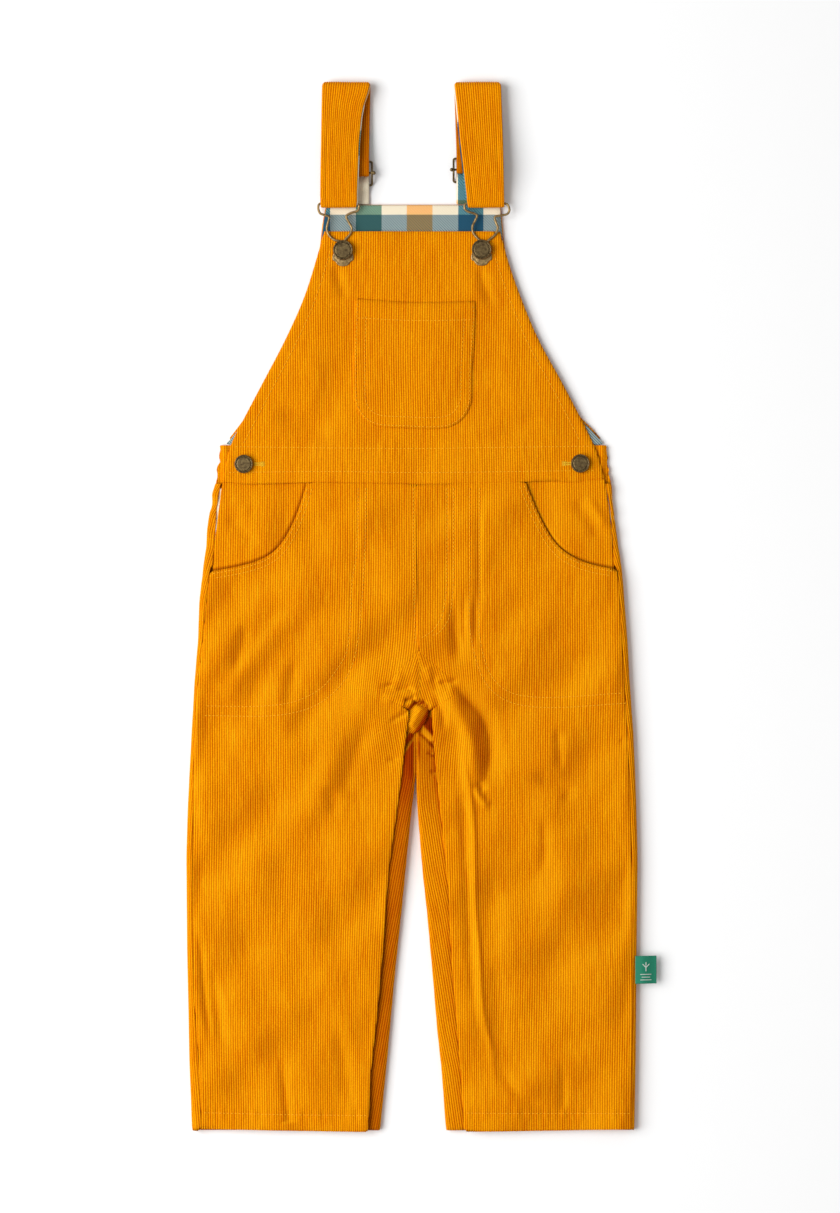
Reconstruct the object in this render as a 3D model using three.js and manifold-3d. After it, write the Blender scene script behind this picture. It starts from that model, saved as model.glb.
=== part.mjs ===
// A child's corduroy dungarees laid flat, front side up, with the straps folded over and hooked to the bib.
// Millimetres. +X is the wearer's left, +Y runs towards the straps, +Z is up, and the garment rests on z = 0.
import * as THREE from "three";
import Module from "manifold-3d";

const wasm = await Module();
wasm.setup();

// Driving dimensions
const legWall = 2.2; // corduroy and its lining, worked as one wall
const legHeight = 8; // flattened leg, outside
const hipHeight = 5.6; // back panel where it curls up beside the hip facing
const seamGap = 0.7; // between two pieces that are sewn edge to edge
const layGap = 0.3; // between a piece and what lies on it
const bibWall = 2;
const bibTop = 5; // upper face of the front bib above the floor
const waistTop = 7.5; // upper face of the front at the waist seam
const waistSeamY = 93;
const pocketWall = 1.4;
const bagTopDrop = 0.9; // the pocket bag hangs this far under the front leg
const backBibWall = 1.4;
const flannelWall = 1;
const waistbandWall = 2.2;
const bandTopY = 123;
const gatherPitch = 12;
const gatherDepth = 0.45;
const rollStartY = -88.5; // the back legs lie flat above this and are rolled up below rollEndY
const rollEndY = -100;
const rollRadius = 2.6; // the rolled inner edge, lower than the front leg that is sewn to it
const rollSeamZ = 3.6; // top of the rolled edge where the front leg begins
const strapPly = 1; // each of the two plies of a strap
const strapTopY = 398.6;
const strapStartY = 306.2;
const hookBarY = 306.4;
const hookBarZ = 6.7;
const wireRadius = 0.85;
const sliderBarRadius = 0.7;
const sliderFrameRadius = 0.8;
const sliderHalfLength = 9;
const sliderBarZ = 5.9;
const sliderEndZ = 1.1;
const ballRadius = 1.4;
const bibButtonRadius = 7.6;
const sideButtonRadius = 7.1;
const buttonHeight = 2.6;
const buttonNeckRadius = 2.6;
const plateWall = 1;
const labelWall = 1;
const shiftX = -4.05; // puts the middle of the whole width, label included, on x = 0

// Outlines as [x, y] or [y, x] driving points, measured from the centre front seam
const leftSide = [
  [99, -153], [93, -153.5], [78, -156], [50, -159.6], [27, -162.6], [5, -164.9], [-25, -165.9], [-56, -168.5],
  [-100, -171], [-150, -173.6], [-190, -174.8], [-260, -174.2], [-345, -172.5], [-400, -170.4],
];
const rightSide = [
  [99, 148.6], [93, 149], [78, 150], [50, 153.5], [27, 157], [5, 158.6], [-25, 161], [-56, 162.6],
  [-100, 165.7], [-150, 167.7], [-190, 168.7], [-260, 168], [-345, 167.2], [-400, 166.2],
];
const leftSideSeam = [
  [30, -156.4], [12, -158.3], [-20, -161.5], [-71, -167.2], [-130, -169.2], [-200, -169.8], [-294, -169.1],
  [-349, -164.9], [-400, -163],
];
const rightSideSeam = [
  [30, 153], [12, 154.6], [-10, 155.8], [-71, 159.3], [-130, 162.4], [-200, 164.3], [-284, 165.4], [-400, 164.6],
];
const leftInner = [
  [-90, -0.4], [-128, -0.5], [-157, -3.8], [-190, -6.8], [-229, -10.6], [-284, -16.4], [-339, -21.3], [-400, -27.4],
];
const rightInner = [
  [-90, 0.4], [-128, 0.6], [-152, 1], [-202, 4.9], [-234, 8.4], [-284, 12.9], [-322, 16], [-354, 19.5], [-400, 22.8],
];
const leftInseam = [
  [-80, -5.2], [-92, -6.8], [-107, -8.6], [-128, -10.8], [-157, -14.8], [-202, -21], [-266, -25.6],
  [-307, -29.2], [-356, -34.6], [-400, -36.4],
];
const rightInseam = [
  [-79, 11.9], [-92, 12.7], [-128, 15.6], [-181, 21.4], [-218, 24.8], [-269, 27], [-299, 29.6], [-356, 34.2],
  [-400, 37],
];
const leftScoop = [
  [-156.2, 26.6], [-135.3, 30.4], [-120.8, 34.6], [-111.7, 39.1], [-103.4, 46.4], [-95, 60], [-88.5, 75.6],
  [-83.3, 92.6],
];
const rightScoop = [
  [83.3, 94.4], [88.9, 80.2], [96.1, 64.2], [105.4, 49], [114, 40.8], [125, 34.8], [138, 30.8], [152.8, 28.2],
];
const bibLeftEdge = [
  [-69.9, 285.4], [-76, 263.3], [-85.9, 232.9], [-99.6, 202.5], [-115.5, 172.1], [-131.5, 141.7],
  [-139.1, 127], [-142.3, 118], [-147.2, 94.4],
];
const bibRightEdge = [
  [63.8, 285.4], [69.9, 263.3], [80.6, 232.9], [93.5, 202.5], [110.2, 172.1], [126.2, 141.7],
  [132.5, 129], [138, 116], [143.4, 96.6],
];
const waistSeam = [
  [-147.2, 94.4], [-129.2, 93.2], [-76.8, 94.8], [3, 93], [38, 93.7], [73, 94.8], [103.4, 95.9], [119.3, 95],
  [143.4, 96.6],
];
const backBibLeftEdge = [
  [-68.5, 305.9], [-71.2, 292], [-74.8, 263.3], [-84.8, 232.9], [-98.4, 202.5], [-114.4, 172.1], [-130.8, 143],
  [-139.8, 131], [-146.4, 123.4],
];
const backBibRightEdge = [
  [64.5, 305.9], [66.6, 283], [69, 263.3], [79.4, 232.9], [92.4, 202.5], [109, 172.1], [125.2, 144],
  [133.5, 136], [144.6, 123.4],
];
const patchTop = [[-46, 234.5], [-20, 232.4], [4.6, 231.4], [25, 231.7], [44.5, 232.6]];
const patchLeft = [[-46, 234.5], [-46.6, 222], [-47.6, 182], [-46.9, 156], [-44.6, 148.9], [-40.4, 143.2]];
const patchRight = [[44.5, 232.6], [45.4, 226], [42.7, 178.2], [42.2, 156], [40.2, 149.8], [36.2, 143.2]];
const patchBottom = [
  [-40.4, 143.2], [-35.6, 139.6], [-28.1, 136.9], [-7.6, 135.7], [12.9, 135], [25.1, 136.4], [31.6, 139.4],
  [36.2, 143.2],
];
const gussetApex = [2.6, -34.8];
const gussetLeft = [gussetApex, [-12.3, -48.7], [-19.2, -56.8], [-25.4, -67.2]];
const gussetRight = [gussetApex, [14.6, -44.6], [23, -52.2], [29, -66.8]];
const gussetUnderLeft = [[-25.4, -67.2], [-15, -73.1], [-5.7, -78.4], [-4.6, -84], [2.6, -88]];
const gussetUnderRight = [[29, -66.8], [21, -72.6], [11.4, -78], [9, -84], [2.6, -88]];
const labelBox = { left: 166.6, right: 182.9, low: -286.6, high: -265.5 };
const bibButtons = { left: [-55.5, 270.9], right: [49.9, 271.3] };
const sideButtons = { left: [-130.9, 108.3], right: [124.9, 108.7] };
const hookWires = {
  left: [
    [-56.6, 277.9], [-61.6, 278.6], [-66.1, 282.3], [-67.8, 287.2], [-66.9, 292], [-66.1, 296], [-69.5, 297.6],
    [-72.9, 299], [-74.1, 301.6], [-74.3, 304], [-73.6, 305.9], [-72.2, hookBarY], [-59, hookBarY],
    [-45.4, hookBarY], [-43.9, 305.7], [-43.4, 303.6], [-44.3, 301], [-50.2, 298.9], [-53, 296.6], [-51, 292],
    [-48.9, 287.7], [-50.2, 283.1], [-54.2, 278.6],
  ],
  right: [
    [51.1, 278.4], [47.2, 279.6], [43.4, 284.4], [43, 289.2], [45.2, 294], [46.4, 297.4], [43.5, 299],
    [39.5, 300.2], [37.1, 302.4], [36.9, 304.8], [37.8, 306.1], [39.4, hookBarY], [53, hookBarY],
    [67.6, hookBarY], [69.4, 305.7], [70.6, 303.8], [71, 301.2], [69.6, 298.6], [64, 297.2], [60, 296.2],
    [60.8, 292], [62.2, 288.2], [60.4, 283.1], [55.6, 278.8],
  ],
};
const plateOutline = [
  [0, -12.2], [3.2, -11.6], [5, -10], [6, -8.5], [7.7, -7.3], [8, -5], [6.8, -1], [5.6, 3], [0, 4.6],
  [-5.6, 3], [-6.8, -1], [-8, -5], [-7.7, -7.3], [-6, -8.5], [-5, -10], [-3.2, -11.6],
];
// The largest folds of the front legs: a line of points, a half width, and a height that is negative for a trough
const frontFolds = [
  { line: [[30, -40], [40, -62], [50, -86], [54, -104], [55, -125]], reach: 9, height: -1.3 },
  { line: [[24, -34], [34, -52], [44, -72], [49, -96]], reach: 7, height: 0.7 },
  { line: [[36, -140], [40, -200], [49, -299], [56, -383]], reach: 8, height: 0.8 },
  { line: [[48, 86], [48, 40], [48, -8]], reach: 7, height: -0.6 },
  { line: [[-153, -63], [-120, -25], [-80, 20]], reach: 12, height: -0.6 },
  { line: [[112, -345], [114, -390]], reach: 7, height: -0.6 },
];

const cordColour = 0xe39005;
const flannelColour = 0xb9c3b4;
const metalColour = 0x6b5a36;
const labelColour = 0x16664f;

const group = new THREE.Group();

// Linear reading of a table of [at, value] rows that runs in either direction
function tableValue(table, at) {
  const falling = table[0][0] > table[table.length - 1][0];
  const rows = falling ? table.slice().reverse() : table;
  if (at <= rows[0][0]) {
    return rows[0][1];
  }
  for (let i = 1; i < rows.length; i += 1) {
    if (at <= rows[i][0]) {
      const share = (at - rows[i - 1][0]) / (rows[i][0] - rows[i - 1][0]);
      return rows[i - 1][1] + share * (rows[i][1] - rows[i - 1][1]);
    }
  }
  return rows[rows.length - 1][1];
}

// 0 below low, 1 above high, with soft ends
function soft(low, high, at) {
  const share = Math.min(1, Math.max(0, (at - low) / (high - low)));
  return share * share * (3 - 2 * share);
}

// A polyline of [x, y] points cut into equal lengths
function spread(points, count) {
  const lengths = [0];
  for (let i = 1; i < points.length; i += 1) {
    const step = Math.hypot(points[i][0] - points[i - 1][0], points[i][1] - points[i - 1][1]);
    lengths.push(lengths[i - 1] + step);
  }
  const whole = lengths[lengths.length - 1];
  const found = [];
  for (let k = 0; k <= count; k += 1) {
    const at = (whole * k) / count;
    let i = 1;
    while (i < lengths.length - 1 && lengths[i] < at) {
      i += 1;
    }
    const share = (at - lengths[i - 1]) / (lengths[i] - lengths[i - 1]);
    found.push([
      points[i - 1][0] + share * (points[i][0] - points[i - 1][0]),
      points[i - 1][1] + share * (points[i][1] - points[i - 1][1]),
    ]);
  }
  return found;
}

// Rows of [x, y] filled in between four edges: top and bottom run left to right, left and right run downwards
function fill(top, bottom, left, right) {
  const across = top.length - 1;
  const down = left.length - 1;
  const rows = [];
  for (let j = 0; j <= down; j += 1) {
    const v = j / down;
    const row = [];
    for (let i = 0; i <= across; i += 1) {
      const u = i / across;
      row.push([0, 1].map((k) => {
        const edges = (1 - v) * top[i][k] + v * bottom[i][k] + (1 - u) * left[j][k] + u * right[j][k];
        const upper = (1 - u) * top[0][k] + u * top[across][k];
        const lower = (1 - u) * bottom[0][k] + u * bottom[across][k];
        return edges - (1 - v) * upper - v * lower;
      }));
    }
    rows.push(row);
  }
  return rows;
}

// One closed wall between two matching grids of [x, y, z] points
function wallBetween(outer, inner) {
  const down = outer.length;
  const across = outer[0].length;
  const places = [];
  outer.forEach((row) => row.forEach((p) => places.push(...p)));
  inner.forEach((row) => row.forEach((p) => places.push(...p)));
  const half = down * across;
  const faces = [];
  const quad = (a, b, c, d) => faces.push(a, b, c, a, c, d);
  for (let j = 0; j < down - 1; j += 1) {
    for (let i = 0; i < across - 1; i += 1) {
      const a = j * across + i;
      quad(a, a + across, a + across + 1, a + 1);
      quad(half + a, half + a + 1, half + a + across + 1, half + a + across);
    }
  }
  for (let i = 0; i < across - 1; i += 1) {
    const last = (down - 1) * across + i;
    quad(i, i + 1, half + i + 1, half + i);
    quad(last, half + last, half + last + 1, last + 1);
  }
  for (let j = 0; j < down - 1; j += 1) {
    const first = j * across;
    const end = first + across - 1;
    quad(first, half + first, half + first + across, first + across);
    quad(end, end + across, half + end + across, half + end);
  }
  return closed(places, faces);
}

// A geometry whose faces point outwards
function closed(places, faces) {
  let volume = 0;
  for (let f = 0; f < faces.length; f += 3) {
    const [a, b, c] = [0, 1, 2].map((k) => new THREE.Vector3().fromArray(places, faces[f + k] * 3));
    volume += a.dot(b.cross(c));
  }
  if (volume < 0) {
    for (let f = 0; f < faces.length; f += 3) {
      [faces[f + 1], faces[f + 2]] = [faces[f + 2], faces[f + 1]];
    }
  }
  const made = new THREE.BufferGeometry();
  made.setAttribute("position", new THREE.Float32BufferAttribute(places, 3));
  made.setIndex(faces);
  made.computeVertexNormals();
  return made;
}

// A sheet of cloth: rows of [x, y], a rule for its upper face and one for its under face
function sheet(rows, upper, under) {
  const top = rows.map((row) => row.map(([x, y]) => [x, y, upper(x, y)]));
  const bottom = rows.map((row) => row.map(([x, y]) => [x, y, under(x, y)]));
  return wallBetween(top, bottom);
}

// A round bar along points, kept level side to side; closed rings join end to start
function bar(points, radius, sides, ring) {
  const places = [];
  const faces = [];
  const count = points.length;
  const up = new THREE.Vector3(0, 0, 1);
  points.forEach((p, k) => {
    const before = ring ? points[(k - 1 + count) % count] : points[Math.max(0, k - 1)];
    const after = ring ? points[(k + 1) % count] : points[Math.min(count - 1, k + 1)];
    const along = after.clone().sub(before).normalize();
    const side = along.clone().cross(up).normalize();
    const over = side.clone().cross(along);
    for (let s = 0; s < sides; s += 1) {
      const turn = (2 * Math.PI * s) / sides;
      const q = p.clone();
      q.addScaledVector(side, radius * Math.cos(turn));
      q.addScaledVector(over, radius * Math.sin(turn));
      places.push(q.x, q.y, q.z);
    }
  });
  const spans = ring ? count : count - 1;
  for (let k = 0; k < spans; k += 1) {
    const next = (k + 1) % count;
    for (let s = 0; s < sides; s += 1) {
      const t = (s + 1) % sides;
      faces.push(k * sides + s, next * sides + s, next * sides + t);
      faces.push(k * sides + s, next * sides + t, k * sides + t);
    }
  }
  if (!ring) {
    for (let s = 1; s < sides - 1; s += 1) {
      faces.push(0, s, s + 1);
      const last = (count - 1) * sides;
      faces.push(last, last + s + 1, last + s);
    }
  }
  return closed(places, faces);
}

// Smooth 3-D points through driving points
function smoothPoints(points, count, ring) {
  const curve = new THREE.CatmullRomCurve3(points, ring, "centripetal");
  const found = curve.getSpacedPoints(count);
  return ring ? found.slice(0, -1) : found;
}

function solidFrom(geometry) {
  const flat = geometry.index ? geometry : geometry.clone();
  const mesh = new wasm.Mesh({
    numProp: 3,
    vertProperties: new Float32Array(flat.attributes.position.array),
    triVerts: new Uint32Array(flat.index.array),
  });
  return new wasm.Manifold(mesh);
}

function geometryFrom(solid) {
  const mesh = solid.getMesh();
  const places = [];
  for (let i = 0; i < mesh.vertProperties.length; i += mesh.numProp) {
    places.push(mesh.vertProperties[i], mesh.vertProperties[i + 1], mesh.vertProperties[i + 2]);
  }
  return closed(places, Array.from(mesh.triVerts));
}

function add(name, geometry, colour, metal) {
  const material = new THREE.MeshStandardMaterial({
    color: colour,
    roughness: metal ? 0.4 : 0.9,
    metalness: metal ? 1 : 0,
  });
  const mesh = new THREE.Mesh(geometry, material);
  mesh.name = name;
  group.add(mesh);
}

// Height of the folds at a place
function foldHeight(x, y) {
  let height = 0;
  frontFolds.forEach((fold) => {
    let nearest = Infinity;
    for (let i = 1; i < fold.line.length; i += 1) {
      const [ax, ay] = fold.line[i - 1];
      const [bx, by] = fold.line[i];
      const span = (bx - ax) ** 2 + (by - ay) ** 2;
      const share = Math.min(1, Math.max(0, ((x - ax) * (bx - ax) + (y - ay) * (by - ay)) / span));
      nearest = Math.min(nearest, Math.hypot(x - ax - share * (bx - ax), y - ay - share * (by - ay)));
    }
    height += fold.height * (1 - soft(0, fold.reach * 1.6, nearest));
  });
  return height;
}

// Upper face of the front legs: rounded off towards the sides, a little lower at the waist
function legTop(x, y) {
  const side = x < 0 ? x - tableValue(leftSide, y) : tableValue(rightSide, y) - x;
  const radius = legHeight / 2;
  const inset = Math.min(radius, Math.max(0.4, side));
  const rounded = radius + Math.sqrt(radius ** 2 - (radius - inset) ** 2);
  const waist = soft(40, waistSeamY, y) * (legHeight - waistTop);
  const seamless = soft(4, 16, side) * soft(3, 14, Math.abs(x));
  return rounded - waist + seamless * foldHeight(x, y) * (1 - soft(70, waistSeamY, y));
}

// Upper face of the front bib: low on the chest, up to the waist seam, low again at the tabs
function bibUpper(x, y) {
  const rise = 1 - soft(waistSeamY, 130, y);
  const tab = 1 - 0.55 * soft(95, 138, Math.abs(x));
  return bibTop + rise * (waistTop - bibTop) * tab;
}

// --- Front legs ---
const leftCentre = [[-0.3, 92.4], [-0.3, 50], [0.2, 10], [1, -20], [1.9, -33.9]];
const rightCentre = [[0.3, 92.4], [0.3, 50], [0.8, 10], [1.6, -20], [2.9, -33.6]];
const sideRows = [5, -18, -38, -52, -62, -70, -80, -92, -105, -135, -172, -215, -262, -310, -356];
const inseamRows = [-92, -128, -170, -215, -265, -310, -356];
const hemLeft = [[-163, -397], [-36, -399.3]];
const hemRight = [[37, -399], [164.6, -397.4]];
const hemCount = 12;

function seamPoints(table, rows, shift) {
  return rows.map((y) => [tableValue(table, y) + shift, y]);
}

const leftOuterEdge = [leftScoop[0], ...seamPoints(leftSideSeam, sideRows, seamGap / 2), hemLeft[0]];
const leftInnerEdge = [
  ...leftCentre, [-13, -48.2], [-20, -56.4], [-27, -67.8], [-6.4, -79.8],
  ...seamPoints(leftInseam, inseamRows, -seamGap / 2), hemLeft[1],
];
const leftWaist = [[-66, 93.4], [-50, 93], [-33, 92.6], [-16, 92.4], leftCentre[0]];
const leftRows = fill([...leftScoop, ...leftWaist], spread(hemLeft, hemCount), leftOuterEdge, leftInnerEdge);

const rightOuterEdge = [
  rightScoop[7], ...seamPoints(rightSideSeam, sideRows, -seamGap / 2), hemRight[1],
];
const rightInnerEdge = [
  ...rightCentre, [15.2, -43.9], [24, -51.4], [30.4, -67.6], [12.6, -79],
  ...seamPoints(rightInseam, inseamRows, seamGap / 2), hemRight[0],
];
const rightWaist = [rightCentre[0], [16, 92.6], [33, 92.9], [50, 93.4], [66, 93.9]];
const rightRows = fill([...rightWaist, ...rightScoop], spread(hemRight, hemCount), rightInnerEdge, rightOuterEdge);

// The under face of a front leg, pulled in along the side seam where the back panel's end slants under it
function legSheet(rows, sideColumn) {
  const upper = rows.map((row) => row.map(([x, y]) => [x, y, legTop(x, y)]));
  const under = rows.map((row) => row.map(([x, y], i) => {
    const pull = i === sideColumn ? -Math.sign(x) * 1.2 : 0;
    return [x + pull, y, legTop(x, y) - legWall];
  }));
  return wallBetween(upper, under);
}

add("front_leg_left", legSheet(leftRows, 0), cordColour);
add("front_leg_right", legSheet(rightRows, hemCount), cordColour);

// --- Back legs: each row is a section that starts on the top side at the side seam and rolls under ---
const backRows = [
  92.6, 76, 58, 40, 30, 22, 8, -20, -56, -84, -88.5, -92, -96, -100, -106, -114, -128, -170, -215, -265, -310, -356, -398,
];
const arcSteps = 4;
const floorSteps = 6;

// A section as [x, z] points of the outer face and of the inner face, from seam to end
function backSection(y, sign, side, seam, hip, inner, inseam) {
  const height = hipHeight + (legHeight - hipHeight) * (1 - soft(16, 36, y));
  const radius = height / 2;
  const outer = [];
  const inside = [];
  const sideX = tableValue(side, y) * sign;
  const seamX = tableValue(y > 30 ? hip : seam, y) * sign + seamGap;
  const centreX = sideX - radius;
  const startTurn = Math.asin(Math.max(-1, Math.min(1, (seamX - centreX) / radius)));
  const flatStart = seamX < centreX;
  if (flatStart) {
    outer.push([seamX, height]);
    inside.push([seamX, height - legWall]);
  } else {
    outer.push([centreX + radius * Math.sin(startTurn), radius + radius * Math.cos(startTurn)]);
    inside.push([
      centreX + (radius - legWall) * Math.sin(startTurn),
      radius + (radius - legWall) * Math.cos(startTurn),
    ]);
  }
  const from = flatStart ? 0 : startTurn;
  const first = flatStart ? 0 : 1;
  for (let k = first; k <= arcSteps; k += 1) {
    const turn = from + ((Math.PI - from) * k) / arcSteps;
    outer.push([centreX + radius * Math.sin(turn), radius + radius * Math.cos(turn)]);
    inside.push([
      centreX + (radius - legWall) * Math.sin(turn),
      radius + (radius - legWall) * Math.cos(turn),
    ]);
  }
  if (!flatStart) {
    outer.splice(1, 0, [(outer[0][0] + outer[1][0]) / 2, (outer[0][1] + outer[1][1]) / 2]);
    inside.splice(1, 0, [(inside[0][0] + inside[1][0]) / 2, (inside[0][1] + inside[1][1]) / 2]);
  }
  const rolled = 1 - soft(rollEndY, rollStartY, y);
  const innerX = tableValue(inner, y) * sign;
  const innerCentre = innerX + rollRadius;
  const flatEnd = seamGap / 2;
  const inseamX = tableValue(inseam, y) * sign - seamGap / 2;
  const lieEnd = rolled > 0 ? innerCentre : flatEnd + 12;
  for (let k = 1; k <= floorSteps; k += 1) {
    const x = centreX + ((lieEnd - centreX) * k) / floorSteps;
    outer.push([x, 0]);
    inside.push([x, legWall]);
  }
  for (let k = 1; k <= arcSteps + 1; k += 1) {
    const turn = (Math.PI * Math.min(k, arcSteps)) / arcSteps;
    let rollOuter = [innerCentre - rollRadius * Math.sin(turn), rollRadius - rollRadius * Math.cos(turn)];
    let rollInside = [
      innerCentre - (rollRadius - legWall) * Math.sin(turn),
      rollRadius - (rollRadius - legWall) * Math.cos(turn),
    ];
    if (k > arcSteps) {
      const endX = Math.max(inseamX, innerCentre + 0.5);
      rollOuter = [endX, rollSeamZ];
      rollInside = [endX, rollSeamZ - legWall];
    }
    const share = k / (arcSteps + 1);
    const flatX = lieEnd + (flatEnd - lieEnd) * share;
    outer.push([flatX + (rollOuter[0] - flatX) * rolled, rollOuter[1] * rolled]);
    inside.push([flatX + (rollInside[0] - flatX) * rolled, legWall + (rollInside[1] - legWall) * rolled]);
  }
  return { outer, inside };
}

function backLeg(sign, side, seam, hip, inner, inseam) {
  const outer = [];
  const inside = [];
  backRows.forEach((y) => {
    const section = backSection(y, sign, side, seam, hip, inner, inseam);
    outer.push(section.outer.map(([x, z]) => [x * sign, y, z]));
    inside.push(section.inside.map(([x, z]) => [x * sign, y, z]));
  });
  return wallBetween(outer, inside);
}

const hipLeftEdge = [[-147, 92.6], [-149.7, 77.9], [-152.8, 52.8], [-154.4, 35.7], [-154.6, 8], [-158, -40], [-160, -72]];
const hipRightEdge = [[143, 94.4], [147.2, 73.3], [149.5, 49.8], [150.6, 30], [151, 8], [154, -40], [156, -70]];
const byHeight = (edge) => edge.map(([x, y]) => [y, x]);
const leftHip = byHeight(hipLeftEdge);
const rightHip = byHeight(hipRightEdge);
add("back_leg_left", backLeg(-1, leftSide, leftSideSeam, leftHip, leftInner, leftInseam), cordColour);
add("back_leg_right", backLeg(1, rightSide, rightSideSeam, rightHip, rightInner, rightInseam), cordColour);

// --- Hip pockets: facing and bag in one sheet under each front leg ---
const bagDrop = legWall + bagTopDrop;
const bagLeftInner = [[-46, 92.6], [-47, 30], [-51, -8], [-55, -38], [-64, -54], [-78, -68], [-92, -73]];
const bagRightInner = [[50, 93], [49, 30], [50, -8], [52, -34], [58, -52], [70, -64], [84, -68]];
const bagRows = 10;
const bagColumns = 6;
const bagUpper = (x, y) => {
  const seen = soft(30, 60, y) * soft(96, 118, Math.abs(x));
  return legTop(x, y) - bagDrop + seen * 0.6;
};
const bagUnder = (x, y) => bagUpper(x, y) - pocketWall;

function bag(leftEdge, rightEdge) {
  const top = spread([leftEdge[0], rightEdge[0]], bagColumns);
  const bottom = spread([leftEdge[leftEdge.length - 1], rightEdge[rightEdge.length - 1]], bagColumns);
  return sheet(fill(top, bottom, spread(leftEdge, bagRows), spread(rightEdge, bagRows)), bagUpper, bagUnder);
}

add("hip_pocket_left", bag(hipLeftEdge, bagLeftInner), cordColour);
add("hip_pocket_right", bag(bagRightInner, hipRightEdge), cordColour);

// --- Crotch gusset: a diamond that turns down over the crotch and lies on the back legs' meeting ---
const gussetCells = 8;
const gussetUpper = (x, y) => {
  const edgeY = -73 - 5 * soft(3, 9, Math.abs(x - 3));
  const down = 1 - soft(edgeY - 5, edgeY + 1, y);
  return legHeight - down * (legHeight - legWall - layGap - 2);
};
const gussetRows = fill(
  spread(gussetRight, gussetCells), spread(gussetUnderLeft, gussetCells),
  spread(gussetLeft, gussetCells), spread(gussetUnderRight, gussetCells),
);
add("crotch_gusset", sheet(gussetRows, gussetUpper, (x, y) => gussetUpper(x, y) - 1.8), cordColour);

// --- Front bib, one piece with its button tabs ---
const bibColumns = 12;
const bibRowsCount = 10;
const bibRows = fill(
  spread([bibLeftEdge[0], bibRightEdge[0]], bibColumns), spread(waistSeam, bibColumns),
  spread(bibLeftEdge, bibRowsCount), spread(bibRightEdge, bibRowsCount),
);
add("front_bib", sheet(bibRows, bibUpper, (x, y) => bibUpper(x, y) - bibWall), cordColour);

const patchCells = 8;
const patchRows = fill(
  spread(patchTop, patchCells), spread(patchBottom, patchCells),
  spread(patchLeft, patchCells), spread(patchRight, patchCells),
);
const patchUnder = bibTop + layGap;
add("bib_pocket", sheet(patchRows, () => patchUnder + pocketWall, () => patchUnder), cordColour);

// --- Back bib, its lining and the gathered band ---
const backBibRows = fill(
  spread([backBibLeftEdge[0], backBibRightEdge[0]], bibColumns),
  spread([backBibLeftEdge[8], backBibRightEdge[8]], bibColumns),
  spread(backBibLeftEdge, bibRowsCount), spread(backBibRightEdge, bibRowsCount),
);
add("back_bib", sheet(backBibRows, () => backBibWall, () => 0), cordColour);
const liningInset = 0.985;
const liningRows = backBibRows.map((row) => row.map(([x, y]) => [x * liningInset, y - 0.4 * (y - 214) / 92]));
const liningUnder = backBibWall + layGap;
add("back_bib_lining", sheet(liningRows, () => liningUnder + flannelWall, () => liningUnder), flannelColour);

const bandColumns = 50;
const bandTop = spread([[-151.6, bandTopY], [147, bandTopY]], bandColumns);
const bandBottom = spread([[-153, waistSeamY], [148.6, waistSeamY]], bandColumns);
const bandSide = [0, 0.5, 1];
const bandRows = fill(
  bandTop, bandBottom,
  bandSide.map((v) => [bandTop[0][0] + (bandBottom[0][0] - bandTop[0][0]) * v, bandTopY - (bandTopY - waistSeamY) * v]),
  bandSide.map((v) => [147 + 1.6 * v, bandTopY - (bandTopY - waistSeamY) * v]),
);
const gathered = (x) => waistbandWall - gatherDepth + gatherDepth * Math.cos((2 * Math.PI * x) / gatherPitch);
add("back_waistband", sheet(bandRows, gathered, () => 0), cordColour);

// --- Straps: one ribbon each, from the back bib over the shoulder, round the hook and back to the slider ---
const foldCentreY = strapTopY - 5.2;
const foldCentreZ = 5.2;
const outerFold = 4.05;
const innerFold = 1.45;
const hookTurn = wireRadius + layGap + strapPly + layGap / 2;
const sliderTurn = sliderBarRadius + layGap + strapPly + layGap / 2;
const liePly = strapPly + layGap / 2; // height of the strap's middle when it lies on the floor

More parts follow.
